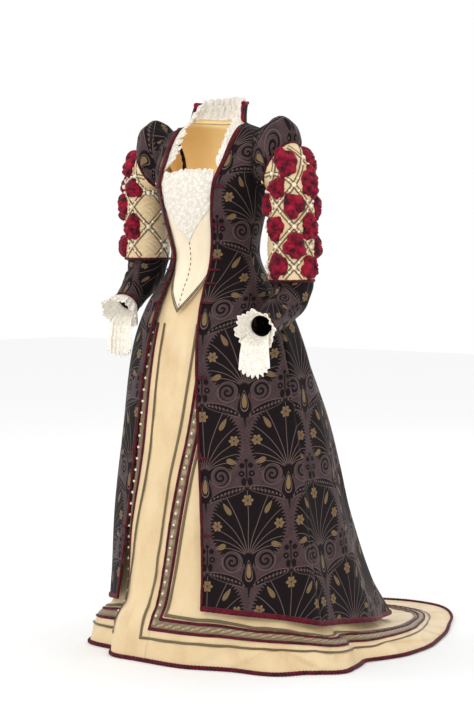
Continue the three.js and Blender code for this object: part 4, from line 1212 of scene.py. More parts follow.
@dataclass(frozen=True)
class Robe:
    """The open velvet robe: two fronts, the back, its golden lining, and crimson bands along hem and edges."""

    front_columns: int = 44
    half_back: int = 46
    low_rows: int = 154
    yoke_rows: int = 18
    band_roll: float = 3.3
    bar_heights: tuple[float, ...] = (1196.0, 1100.0, 1012.0, 985.0, 950.0, 905.0, 716.0, 520.0, 330.0)

    def heights(self) -> Array:
        """Heights from the hem to the armpit, then up the yoke by the cosine that the armhole's ellipse follows."""
        low = np.linspace(ROBE_SECTIONS["height"][0], ARMPIT, self.low_rows)
        steps = np.delete(np.arange(1, self.yoke_rows + 1), (-3, -2))
        yoke = ARMHOLE_Z - ARMHOLE_HEIGHT * np.cos(math.pi * steps / self.yoke_rows)
        return np.concatenate([low, yoke])

    def front(self, side: Side) -> Grid:
        """The grid of a front: equal angles between its front edge and the side seam or armhole.

        Args:
            side: the wearer's left or right.

        Returns:
            The grid, its columns running towards the wearer's left.
        """
        h = self.heights()[:, None]
        share = np.linspace(0, 1, self.front_columns)[None]
        edge, arm = robe_edge_angle(side, h), armhole_angle(h, -1)
        angle = (edge + (arm - edge) * share) * side.value
        if side is Side.RIGHT:
            angle = angle[:, ::-1]
        points = ROBE.point(angle, np.broadcast_to(h, angle.shape))
        waist = int(np.argmin(np.abs(self.heights() - 1000)))
        grid = Grid(points, uv=panel_lay(points, side is Side.RIGHT, waist), normals=ROBE.normal(angle, h))
        grid.normals[-1] = (0, 0, 1)
        return grid

    def back(self) -> Grid:
        """The grid of the back, from the left side seam or armhole over the centre to the right, up to the neckline."""
        h = self.heights()
        share = np.concatenate([np.linspace(0, 1, self.half_back), np.linspace(1, 0, self.half_back)[1:]])
        tall = neck_height(share)
        up = np.clip((h - ARMPIT) / (TIP - ARMPIT), 0, 1)[:, None]
        height = np.where(h[:, None] > ARMPIT, ARMPIT + (tall[None] - ARMPIT) * up, h[:, None])
        angle = back_angle(np.broadcast_to(share, height.shape), height)
        right = np.arange(len(share)) >= self.half_back
        angle = np.where(right, 2 * math.pi - angle, angle)
        points = ROBE.point(angle, height)
        waist = int(np.argmin(np.abs(h - 1000)))
        uv = panel_lay(points, False, waist)
        from_left = uv[..., 0] + 0.125
        uv[..., 0] = np.where(right, from_left[:, -1:] - from_left, from_left) - 0.055
        grid = Grid(points, uv=uv, normals=ROBE.normal(angle, height))
        grid.normals[-1, tall > TIP - 0.1] = (0, 0, 1)
        return grid

    def inside(self, grid: Grid, part: tuple[slice, slice]) -> Grid:
        """A lining's grid: part of a panel, with normals that turn to the middle line and up on the yoke's shelf.

        Args:
            grid: the panel.
            part: its rows and columns.

        Returns:
            The grid.
        """
        points, normals = grid.points[part], grid.normals[part]
        outward = points * np.array([1.0, 1.0, 0.0])
        outward = unit(outward) + np.array([0, 0, 0.6])
        outward = unit(outward)
        turned = smoothstep(points[..., 2:], ARMPIT + 40, ARMPIT + 80)
        blend = normals * (1 - turned) + outward * turned
        return Grid(points, uv=grid.uv[part], normals=unit(blend))

    def make(self, wardrobe: Wardrobe) -> None:
        """Makes and dresses every piece of the robe."""
        hem_paths = []
        for side in Side:
            grid = self.front(side)
            name = f"robe_front_{side.word}"
            obj = wall(name, grid, -VELVET, 0.0)
            wardrobe.dress(obj, Finish.FIGURED, name)
            declare(obj, grid, "hung", "bodice")
            part = (slice(self.low_rows, None), slice(3, -1) if side is Side.LEFT else slice(1, -3))
            lining = self.inside(grid, part)
            obj = wall(f"robe_front_lining_{side.word}", lining, -VELVET - 1.2, -VELVET - 0.4)
            wardrobe.dress(obj, Finish.LINING)
            declare(obj, lining, "hung", name)
            self.edge(wardrobe, grid, side)
            hem_paths.append(grid)
        back = self.back()
        columns = np.arange(2 * self.half_back - 1) - self.half_back + 1
        seam = -0.9 * np.exp(-((columns / 0.6) ** 2))[None] * np.ones((len(back.points), 1))
        obj = wall("robe_back", back, -VELVET, seam)
        wardrobe.dress(obj, Finish.FIGURED, "robe_back_left", "robe_back_right")
        declare(obj, back, "hung", "bodice", "skirt_train")
        start = int(np.argmin(np.abs(self.heights() - 1110)))
        part = (slice(start, None), slice(2, -2))
        lining = self.inside(back, part)
        ripple = 0.5 * np.sin(lining.uv[..., 0] * 160 + 2 * np.sin(lining.uv[..., 1] * 60)) - 0.5
        obj = wall("robe_back_lining", lining, -VELVET - 1.9 + ripple * 0.3, -VELVET - 0.4)
        wardrobe.dress(obj, Finish.LINING, "robe_back_lining")
        declare(obj, lining, "hung", "robe_back")
        self.hem(wardrobe, hem_paths[0], back, hem_paths[1])

    def edge(self, wardrobe: Wardrobe, grid: Grid, side: Side) -> None:
        """A padded crimson roll over a front edge, with short cross bars of crimson cord.

        Args:
            wardrobe: dresses the pieces.
            grid: the front's grid.
            side: the wearer's left or right.
        """
        column = 0 if side is Side.LEFT else -1
        inner = 1 if side is Side.LEFT else -2
        rows = slice(2, len(grid.points) - 1)
        edge, near = grid.points[rows, column], grid.points[rows, inner]
        normal = grid.normals[rows, column]
        across = near - edge
        across = unit(across)
        rng = np.random.default_rng(11 + side.value)
        puff = np.interp(np.arange(len(edge)), np.arange(0, len(edge) + 4, 4),
                         rng.uniform(0.86, 1.08, len(edge) // 4 + 1 + (len(edge) % 4 > 0)))
        wide = 3.8 + 4.4 * smoothstep(self.heights()[rows], 1150.0, 1290.0)
        path = edge + across * (wide - 0.6)[:, None] + normal * 0.5
        name = f"robe_edge_{side.word}"
        roll = tube(name + "_roll", path, across, normal, wide * puff, self.band_roll * puff, 10)
        bars = []
        heights = self.heights()[rows]
        for height in self.bar_heights:
            k = int(np.argmin(np.abs(heights - height)))
            s = np.linspace(0, 1, 8)[:, None]
            line = edge[k] + across[k] * (2 + 30 * s) + normal[k] * (3.4 - 2.2 * s)
            up = np.cross(normal[k], across[k])
            bars.append(tube(f"bar_{side.word}_{int(height)}", line, np.broadcast_to(up, line.shape),
                             np.broadcast_to(normal[k], line.shape), 3.0, 2.4, 8))
        obj = join(name, [roll, *bars])
        wardrobe.dress(obj, Finish.EDGING, name)

    def hem(self, wardrobe: Wardrobe, left: Grid, back: Grid, right: Grid) -> None:
        """The rolled crimson band round the hem: an oval roll over the cut edge, with soft gathers.

        Args:
            wardrobe: dresses the piece.
            left: the left front's grid.
            back: the back's grid.
            right: the right front's grid.
        """
        def two(row: int) -> Array:
            """The whole hem at one row of the grids."""
            return np.concatenate([left.points[row, :-1], back.points[row], right.points[row, 1:]])

        low, high = two(0), two(2)
        stretch = np.linspace(0, len(low) - 1, 4 * len(low))
        at = np.arange(len(low))
        low, high = (np.stack([np.interp(stretch, at, p[:, k]) for k in range(3)], -1) for p in (low, high))
        up = high - low
        up = unit(up)
        along = np.gradient(low, axis=0)
        out = np.cross(along, up)
        out = unit(out)
        wave = np.sin(np.arange(len(low)) * 0.9) * 0.3 + np.sin(np.arange(len(low)) * 2.3) * 0.25
        obj = tube("robe_hem_band", low + up * 6.4 + out * 0.5, up, out, 7.0 + wave, 3.2 + wave, 12)
        wardrobe.dress(obj, Finish.HEM, "robe_hem_band")


@dataclass(frozen=True)
class Bodice:
    """The satin bodice under the robe: pointed front, lace over the bust, a hooked opening and a braid at the waist."""

    point: float = 878.0
    side: float = 992.0
    point_share: float = 0.37
    top: float = 1232.0
    side_angle: float = math.radians(84)
    ease: float = 3.6
    rows: int = 80
    columns: int = 85
    lace_point: float = 1052.0
    lace_share: float = 0.43

    def low(self, share: Array) -> Array:
        """The lower edge: a straight rise from the point to the side."""
        return self.point + (self.side - self.point) * np.minimum(np.abs(share) / self.point_share, 1)

    def place(self, share: Array, height: Array, out: Array | float = 0.0) -> Array:
        """Points of the bodice: the robe's surface, less the velvet and the ease.

        Args:
            share: -1 at the right side, 1 at the left.
            height: heights.
            out: distance outwards from the bodice.

        Returns:
            The points.
        """
        spread = np.minimum(self.side_angle, armhole_angle(height, -1) - math.radians(3))
        points = ROBE.point(share * spread, height)
        normals = ROBE.normal(share * spread, height)
        return points + normals * (np.asarray(out)[..., None] - VELVET - self.ease)

    def sheet(self, share: Array, low: Array, high: float, rows: int) -> tuple[Array, Array]:
        """A grid of shares and heights between a lower and an upper edge."""
        t = np.linspace(0, 1, rows)[:, None]
        return np.broadcast_to(share, (rows, len(share))), low + (high - low) * t

    def make(self, wardrobe: Wardrobe) -> None:
        """Makes and dresses the bodice, its lace, hooks and braid."""
        share, height = self.sheet(np.linspace(-1, 1, self.columns), self.low(np.linspace(-1, 1, self.columns)),
                                   self.top, self.rows)
        wrinkle = (0.7 * np.sin(height / 5.5 + 3 * np.sin(share * 5 + height / 60)) * np.exp(-((share / 0.5) ** 2))
                   + 0.5 * np.sin(height / 9 - 6 * np.abs(share)))
        fade = np.clip((self.top - height) / 40, 0, 1) * np.clip((height - self.low(share)) / 12, 0, 1)
        centre = -0.9 * np.exp(-((share / 0.012) ** 2))
        points = self.place(share, height, wrinkle * fade * 0.8 + centre)
        grid = Grid(points)
        obj = wall("bodice", grid, -SILK, 0.0)
        wardrobe.dress(obj, Finish.PALE, "bodice_front_left", "bodice_front_right")
        declare(obj, grid, "stretched", "robe_back")

        shares = np.linspace(-self.lace_share, self.lace_share, 61)
        low = self.lace_point + np.abs(shares) / self.lace_share * 96 + 2.5 * np.abs(np.sin(shares * 60))
        high = self.top + 4 + 2.5 * np.abs(np.sin(shares * 38)) - 7 * np.exp(-(((shares + 0.3) / 0.12) ** 2))
        share, height = self.sheet(shares, low, high, 60)
        ruck = 0.9 + 0.7 * np.sin(height / 4.5 + 8 * np.sin(share * 9)) * np.clip((height - low) / 20, 0, 1)
        frilled = smoothstep(high - height, 16.0, 3.0)
        ruck = ruck + frilled * (3.2 + 2.0 * np.sin(share * 76 + 2 * np.sin(share * 17)))
        grid = Grid(self.place(share, height, ruck), uv=np.stack([share * 0.2, height / 1000], axis=-1))
        obj = wall("lace_plastron", grid, 0.0, LACE)
        wardrobe.dress(obj, Finish.PLASTRON, "lace_plastron")
        declare(obj, grid, "laid", "bodice")

        shares = np.linspace(-self.lace_share, self.lace_share, 121)
        strips = []
        for offset, wide, tall in ((3.5, 3.2, 1.3), (10.5, 2.0, 1.0)):
            height = self.low(shares)[None] + offset + np.array([[-1.0], [1.0]])
            pair = self.place(np.broadcast_to(shares, height.shape), height, 0.9)
            across = pair[1] - pair[0]
            across = unit(across)
            along = np.gradient(pair.mean(axis=0), axis=0)
            out = np.cross(along, across)
            out = unit(out)
            strips.append(tube(f"braid_{offset}", pair.mean(axis=0), across, out, wide, tall, 8))
        obj = join("waist_braid", strips)
        wardrobe.dress(obj, Finish.BRAID, "waist_braid")

        heights = np.arange(900.0, self.lace_point + 30, 12.5)
        dashes = []
        for k, height in enumerate(heights):
            span = np.linspace(height - 3.2, height + 3.2, 5)[:, None]
            line = self.place(np.array([[-0.006, 0.006]]) + 0 * span, span + np.zeros((1, 2)), 0.9).mean(axis=1)
            side = np.broadcast_to([1.0, 0, 0], line.shape)
            out = np.broadcast_to([0.0, -1, 0], line.shape)
            dashes.append(tube(f"hook_{k}", line, side, out, 1.0, 0.9, 6))
        obj = join("front_hooks", dashes)
        wardrobe.dress(obj, Finish.HOOK)


@dataclass(frozen=True)
class Skirt:
    """The cream satin skirt with its train: four panels, the braided trim, its pearls and the ruched hem piping."""

    floor_rows: int = 34
    upper_rows: int = 92
    columns: tuple[int, int, int] = (64, 78, 106)
    trim_low: float = 83.0
    trim_top: float = 850.0
    pearl_step: float = 29.5

    def heights(self) -> Array:
        """Heights, close together where the cloth breaks on the floor."""
        low = np.linspace(0, 143, self.floor_rows, endpoint=False)
        return np.concatenate([low, np.linspace(143, SKIRT_SECTIONS["height"][-1], self.upper_rows)])

    def seam(self, side: Side, height: Array) -> Array:
        """The angle of the front panel's seam, positive on both sides unless it crosses the middle."""
        x = read(PANEL_SEAMS, side.word, height) * side.value
        shift = HEM_SHIFT * np.maximum(1 - height / SWING_START, 0) ** 2
        sine = (x - shift) / read(SKIRT_SECTIONS, "side", height)
        return np.arcsin(np.clip(sine, -1, 1)) * side.value

    def panel(self, start: Array, end: Array, columns: int) -> Grid:
        """A panel between two angles at each height."""
        h = self.heights()[:, None]
        t = np.linspace(0, 1, columns)[None]
        angle = start + (end - start) * t
        points = SKIRT.point(angle, np.broadcast_to(h, angle.shape))
        points[..., 2] = np.maximum(points[..., 2], 1.9)
        return Grid(points)

    def make(self, wardrobe: Wardrobe) -> None:
        """Makes and dresses the panels, the trim and the piping."""
        h = self.heights()[:, None]
        left, right = self.seam(Side.LEFT, h), self.seam(Side.RIGHT, h)
        full = 2 * math.pi
        front, side, train = self.columns
        spans = (("skirt_front_panel", -right, left, front), ("skirt_left", left, SIDE_SEAM, side),
                 ("skirt_train", SIDE_SEAM, full - SIDE_SEAM, train),
                 ("skirt_right", full - SIDE_SEAM, full - right, side))
        for name, start, end, columns in spans:
            grid = self.panel(start + np.zeros_like(h), end + np.zeros_like(h), columns)
            u, v = grid.uv[..., 0], grid.uv[..., 1]
            dent = np.sin(u * 33 + 2.2 * np.sin(v * 15 + u * 9)) * np.sin(v * 21 + 1.9 * np.sin(u * 27)) - 1
            dent = dent + 0.5 * (np.sin(v * 64 + 3 * np.sin(u * 13)) - 1)
            fade = np.sin(np.linspace(0, math.pi, columns))[None] ** 0.5 * np.clip((h - 12) / 40, 0, 1)
            grid = Grid(grid.points + grid.normals * (dent * fade * 1.5)[..., None], uv=grid.uv)
            obj = wall(name, grid, -SILK, 0.0)
            wardrobe.dress(obj, Finish.CREAM, name)
            declare(obj, grid, "hung", "bodice", "skirt_trim" if name == "skirt_left" else "bodice")
        self.trim(wardrobe)
        self.piping(wardrobe)

    def strip(self, t: Array) -> Grid:
        """The trim's surface: down the left seam, round above the hem and up the right seam, mitred at both corners.

        Args:
            t: places across the trim, 0 on the seam and 1 at its far edge.

        Returns:
            The grid, with a row for each place across.
        """
        t = np.asarray(t, float)[:, None]
        low = self.trim_low + TRIM_WIDTH * t

        def angle(side: Side, height: Array) -> Array:
            """The angle of a place across the vertical trim."""
            return self.seam(side, height) + TRIM_WIDTH * t / read(SKIRT_SECTIONS, "side", height)

        fall = np.linspace(0, 1, 170)[None]
        down = self.trim_top + (low - self.trim_top) * fall
        start, end = angle(Side.LEFT, low), 2 * math.pi - angle(Side.RIGHT, low)
        round_share = np.linspace(0, 1, 500)[None, 1:-1]
        angles = np.concatenate([angle(Side.LEFT, down), start + (end - start) * round_share,
                                 2 * math.pi - angle(Side.RIGHT, down[:, ::-1])], axis=1)
        middle = angles[len(t) // 2, fall.shape[1]:-fall.shape[1]]
        arc = np.linalg.norm(SKIRT.point(middle, self.trim_low + TRIM_WIDTH + 0 * middle)
                             - SKIRT.point(middle, self.trim_low + 0 * middle), axis=-1)
        squeeze = np.minimum(TRIM_WIDTH / arc, 1)[None]
        level = self.trim_low + TRIM_WIDTH * (0.5 + (t - 0.5) * squeeze)
        heights = np.concatenate([down, level, down[:, ::-1]], axis=1)
        return Grid(SKIRT.point(angles, heights))

    def trim(self, wardrobe: Wardrobe) -> None:
        """Burgundy cords on both sides of a figured braid, with a narrow olive braid outside each, and pearls."""
        def ridge(name: str, low: float, high: float, tall: float, base: float, count: int = 7) -> bpy.types.Object:
            """A strip across part of the trim, rounded like the top of a cord."""
            t = np.linspace(-1, 1, count)
            profile = base + tall * np.sqrt(np.clip(1 - t**2, 0, 1))
            grid = self.strip((low + high) / 2 + (high - low) / 2 * t)
            run = np.arange(grid.points.shape[1])
            uneven = 1 + 0.16 * np.sin(run * 0.9 + 2 * np.sin(run * 0.13)) + 0.1 * np.sin(run * 2.3)
            return wall(name, grid, 0.1, profile[:, None] * uneven[None])

        cords = join("skirt_trim_cords", [ridge("near_cord", -0.1, 0.17, 2.6, 0.4),
                                          ridge("far_cord", 0.83, 1.1, 2.6, 0.4)])
        wardrobe.dress(cords, Finish.BURGUNDY, "skirt_trim")
        middle = ridge("skirt_trim", 0.17, 0.83, 1.0, 0.8, 9)
        wardrobe.dress(middle, Finish.GALLOON, "skirt_trim")
        outer = join("skirt_trim_braids", [ridge("inner_braid", -0.92, -0.68, 1.3, 0.4, 5),
                                           ridge("outer_braid", 1.2, 1.46, 1.3, 0.4, 5)])
        wardrobe.dress(outer, Finish.BRAID, "skirt_trim")

        line = self.strip([0.4, 0.5, 0.6])
        points, normals = line.points[1], line.normals[1]
        spots = []
        for part in (slice(0, 170), slice(-170, None)):
            p, n = points[part], normals[part]
            run = np.concatenate([[0], np.cumsum(np.linalg.norm(np.diff(p, axis=0), axis=-1))])
            at = np.arange(12, run[-1] - 8, self.pearl_step)
            spots.append(np.stack([np.interp(at, run, (p + n * 3.6)[:, k]) for k in range(3)], -1))
        obj = beads("trim_pearls", np.concatenate(spots), 3.6)
        wardrobe.dress(obj, Finish.PEARL)

    def piping(self, wardrobe: Wardrobe) -> None:
        """The ruched velvet piping round the hem: an oval roll whose thickness ripples in uneven gathers."""
        angle = np.linspace(0, 2 * math.pi, 2100, endpoint=False)
        low, high = SKIRT.point(angle, np.full(angle.shape, 4.5)), SKIRT.point(angle, np.full(angle.shape, 9.0))
        up = high - low
        up = unit(up)
        along = np.roll(low, -1, axis=0) - np.roll(low, 1, axis=0)
        out = np.cross(along, up)
        out = unit(out)
        step = np.linalg.norm(along, axis=-1) / 2
        run = np.cumsum(step)
        ripple = 0.8 * np.sin(run * 2 * math.pi / 9.3 + 1.7 * np.sin(run / 41)) + 0.5 * np.sin(run * 2 * math.pi / 5.7)
        path = low + out * 0.6
        path[:, 2] = np.maximum(path[:, 2], 5.6)
        obj = tube("hem_piping", path, up, out, 5.4 + ripple * 0.7, 4.3 + ripple * 0.8, 8, True)
        coords = np.empty(len(obj.data.vertices) * 3)
        obj.data.vertices.foreach_get("co", coords)
        coords = coords.reshape(-1, 3)
        coords[:, 2] = np.maximum(coords[:, 2], (0.3 - SHOULDER) / 1000)
        obj.data.vertices.foreach_set("co", coords.ravel())
        wardrobe.dress(obj, Finish.BURGUNDY, "hem_piping")


def through(rows: Array, steps: int) -> Array:
    """Finer rows by a smooth curve through each column of points.

    Args:
        rows: points, with rows along the first axis.
        steps: new rows between two old ones.

    Returns:
        The finer rows: Catmull-Rom curves with their tangents limited at the ends.
    """
    before = np.concatenate([rows[:1], rows[:-1]])
    after = np.concatenate([rows[1:], rows[-1:]])
    slope = (after - before) / 2
    t = (np.arange(steps) / steps)[None, :, None, None]
    p, q, m, n = rows[:-1, None], rows[1:, None], slope[:-1, None], slope[1:, None]
    fine = ((2 * t**3 - 3 * t**2 + 1) * p + (t**3 - 2 * t**2 + t) * m
            + (3 * t**2 - 2 * t**3) * q + (t**3 - t**2) * n)
    return np.concatenate([fine.reshape(-1, *rows.shape[1:]), rows[-1:]])


def look(values: Array, row: Array, column: Array) -> Array:
    """Values of a closed grid between its rows and columns, by straight shares of the four nearest.

    Args:
        values: the grid's values.
        row: rows, with parts.
        column: columns, with parts; they wrap round.

    Returns:
        The values.
    """
    rows, columns = values.shape[:2]
    row = np.clip(row, 0, rows - 1.001)
    i, j = np.floor(row).astype(int), np.floor(column).astype(int)
    s, t = (row - i)[..., None], (column - j)[..., None]
    j, k = j % columns, (j + 1) % columns
    lower = values[i, j] * (1 - t) + values[i, k] * t
    upper = values[i + 1, j] * (1 - t) + values[i + 1, k] * t
    return lower * (1 - s) + upper * s


@dataclass(frozen=True)
class Collar:
    """The standing collar with its crimson rolled edge and end knobs, and the lace frill inside it."""

    height: float = 44.0
    rise: float = 6.0
    lean: float = 10.0
    narrowing: float = 0.066
    edge: float = 8.0
    columns: int = 121
    frill_width: float = 32.0
    frill_lift: float = 9.0
    frill_waves: int = 28

    def neck(self) -> Array:
        """The back neckline, from its left corner round to its right one."""
        half = np.linspace(NECK_SHARE, 1, (self.columns + 1) // 2)
        share = np.concatenate([half, half[-2::-1]])
        tall = neck_height(share)
        angle = back_angle(share, tall)
        angle = np.where(np.arange(self.columns) > self.columns // 2, 2 * math.pi - angle, angle)
        return ROBE.point(angle, tall, False)

    def point(self, share: Array) -> Array:
        """Points up the collar: it stands, leans back by a power of its height and narrows.

        Args:
            share: how far up, one value a row.

        Returns:
            The points, row by row.
        """
        base = self.neck()[None] + np.array([0, 0, 0.4])
        share = np.asarray(share, float)[:, None]
        to_back = np.sin(np.linspace(0, math.pi, self.columns))[None]
        x = base[..., 0] * (1 - self.narrowing * share)
        y = base[..., 1] + self.lean * share**1.5
        z = base[..., 2] + (self.height + self.rise * to_back) * share
        return np.stack([x, y + 0 * z, z], axis=-1)

    def make(self, wardrobe: Wardrobe) -> None:
        """Makes and dresses the collar, its edge and the frill."""
        share = np.linspace(0, 1, 18)
        points = self.point(share)
        grid = Grid(points)
        across = np.linspace(0, 1, self.columns)[None]
        soft = 0.9 * np.sin(across * 31 + share[:, None] * 2.4) * share[:, None] * (1 - 0.6 * share[:, None])
        grid = Grid(points + grid.normals * soft[..., None], uv=grid.uv)
        obj = wall("collar", grid, -VELVET, 0.0)
        wardrobe.dress(obj, Finish.FIGURED, "collar")
        declare(obj, grid, "stretched", "robe_back")
        obj = wall("collar_lining", grid, -VELVET - 1.0, -VELVET - 0.2)
        wardrobe.dress(obj, Finish.LINING)
        declare(obj, grid, "stretched", "collar")

        top = self.point([0.97, 1.0, 1.06])
        up = top[2] - top[0]
        up = unit(up)
        along = np.gradient(top[1], axis=0)
        out = np.cross(along, up)
        out = unit(out)
        bump = 1 + 0.06 * np.sin(np.arange(self.columns) * 0.8) + 0.04 * np.sin(np.arange(self.columns) * 2.1)
        roll = tube("collar_roll", top[1] + up * 3.6 - out * 1.2, up, out, 4.6 * bump, 3.8 * bump, 12)
        ends = []
        for column, inner in ((0, 1), (-1, -2)):
            side = self.point(np.linspace(0.02, 1.0, 20))[:, column]
            near = self.point(np.linspace(0.02, 1.0, 20))[:, inner]
            inward = near - side
            inward = unit(inward)
            rising = np.gradient(side, axis=0)
            rising = unit(rising)
            outward = np.cross(inward, rising)
            ends.append(tube(f"collar_end_{column}", side + inward * 1.6, inward, outward, 7.6, 4.4, 10))
        knobs = beads("knobs", np.stack([top[1][0], top[1][-1]]) + np.array([0, 0, 2.0]), 6.5)
        obj = join("collar_edge", [roll, *ends, knobs])
        wardrobe.dress(obj, Finish.CRIMSON, "collar_edge")
        self.frill(wardrobe)

    def frill(self, wardrobe: Wardrobe) -> None:
        """The lace frill: three guide lines follow the front edges and the collar; the lace ruffles between."""
        robe = Robe()
        heights = robe.heights()
        chosen = (heights > 1232) & (heights < 1330)
        rows = []
        for side in Side:
            grid = robe.front(side)
            column = 2 if side is Side.LEFT else -3
            base = grid.points[chosen, column] + grid.normals[chosen, column] * (-VELVET - 2.0)
            way = np.array([-side.value * 0.7, 0.3, 0.65])
            way /= np.linalg.norm(way)
            line = np.stack([base + way * self.frill_width * k for k in (0, 0.5, 1)])
            rows.append(line if side is Side.LEFT else line[:, ::-1])
        normals = Grid(self.point([0, 0.25, 0.5, 0.75, 1])).normals[[0, 2, 4]]
        inside = (-VELVET - np.array([1.6, 5.0, 8.0]))[:, None, None]
        stand = self.point([0, 0.5, 1]) + normals * inside + np.array([0, 0, self.frill_lift])
        stand = stand[:, 3:-3]
        guides = np.concatenate([rows[0], stand, rows[1]], axis=1)
        middle = guides[1]
        run = np.concatenate([[0], np.cumsum(np.linalg.norm(np.diff(middle, axis=0), axis=-1))])
        count = self.frill_waves * 14 + 1
        at = np.linspace(0, run[-1], count)
        lines = np.stack([np.stack([np.interp(at, run, g[:, k]) for k in range(3)], -1) for g in guides])
        for name, scale, depth, start, inwards in (("lace_frill", 1.08, 6.0, 0.0, 0.0),
                                                   ("lace_frill_front", 0.72, 6.6, 2.1, 3.0)):
            grid = self.ruffle(lines, scale, depth, start, inwards)
            obj = wall(name, grid, -LACE / 2, LACE / 2)
            wardrobe.dress(obj, Finish.LACE, "lace_frill")
            declare(obj, grid, "gathered", "collar")

    def ruffle(self, lines: Array, scale: float, depth: float, start: float, inwards: float) -> Grid:
        """One layer of the frill: a curve through three guide lines, waved more and more towards its free edge.

        Args:
            lines: the three guide lines, at the foot, the middle and the free edge.
            scale: the layer's width as a share of the guides' width.
            depth: the waves' depth.
            start: where the waves start, in radians.
            inwards: how far it stands inside the guides.

        Returns:
            The layer.
        """
        count = lines.shape[1]
        foot = lines[0]
        middle, free = foot + (lines[1] - foot) * scale, foot + (lines[2] - foot) * scale
        s = np.linspace(0, 1, 15)[:, None, None]
        points = foot * (2 * (s - 0.5) * (s - 1)) + middle * (4 * s * (1 - s)) + free * (2 * s * (s - 0.5))
        out = lines[1] * np.array([1, 1, 0])
        out = unit(out)
        phase = np.linspace(0, 2 * math.pi * self.frill_waves, count) + start
        wave = depth * np.sin(phase + 1.4 * np.sin(phase / 5.3)) + 0.3 * depth * np.sin(phase * 0.41)
        curl = 0.35 * depth * np.sin(phase * 2.0 + 1.0)
        points = points + out * (wave[:, None] * s**1.2 + curl[:, None] * s**3 - inwards * (1 - s) - 1.5 * s)
        along = np.gradient(lines[1], axis=0)
        along = unit(along)
        points = points + along * (0.5 * depth * np.sin(phase * 2 + 0.7)[:, None] * s**2)
        points[..., 2] += 1.8 * np.abs(np.sin(phase * 1.5))[None] * s[..., 0] ** 6 - 1.5 * s[..., 0] * np.cos(phase)
        return Grid(points)


ARM_PIVOT = np.array([172.0, 10.0, 1178.0])
SLEEVE_HEAD = table(
    "turn near far depth",
    (5, 14, 184, 66), (11, 13, 195, 70), (18, 12, 190, 71), (25, 12, 170, 67), (30, 12, 146, 61), (40, 12, 138, 59),
    (50, 12, 133, 58), (60, 12, 130, 57), (70, 12, 128, 57), (80, 12, 126, 57), (90, 12, 125, 57),
)
CUFF_RINGS = table("along radius wave", (-6, 28.6, 0), (1, 29.3, 0.3), (16, 39, 2), (32, 46, 4), (44, 50, 5))
UNDER_LACE = table("along radius drop wave", (-2, 25.2, 0, 0), (24, 31, 0, 1), (50, 36, 2, 3), (58, 40, 34, 4),
                   (60, 42, 68, 5))
LOWER_ARMS = {
    Side.LEFT: table("out forward down radius", (2, -2, 18, 51), (5, 12, 42, 48), (12, 47, 66, 43), (24, 92, 84, 39),
                     (40, 142, 98, 36), (56, 190, 108, 33)),
    Side.RIGHT: table("out forward down radius", (1, 0, 20, 51), (1, 14, 46, 47), (0, 38, 72, 42), (-3, 64, 96, 37),
                      (-6, 88, 115, 33)),
}
PUFF_ROWS = {
    Side.LEFT: ((7, 2), (7, 14), (10, 0), (10, 4), (10, 12), (13, 2), (13, 6), (13, 14), (16, 0), (16, 4), (16, 12),
                (19, 2), (19, 14), (22, 0), (22, 4)),
    Side.RIGHT: ((7, 2), (7, 14), (10, 0), (10, 4), (10, 12), (13, 2), (13, 14), (16, 0), (16, 4), (16, 12), (19, 2),
                 (19, 14)),
}


def mirror(obj: bpy.types.Object) -> bpy.types.Object:
    """Turns a left-hand piece into a right-hand one: X changes sign and the faces are turned back outwards."""
    count = len(obj.data.vertices)
    coords = np.empty(count * 3)
    obj.data.vertices.foreach_get("co", coords)
    coords = coords.reshape(-1, 3) * np.array([-1, 1, 1])
    obj.data.vertices.foreach_set("co", coords.ravel())
    obj.data.flip_normals()
    obj.data.update()
    return obj


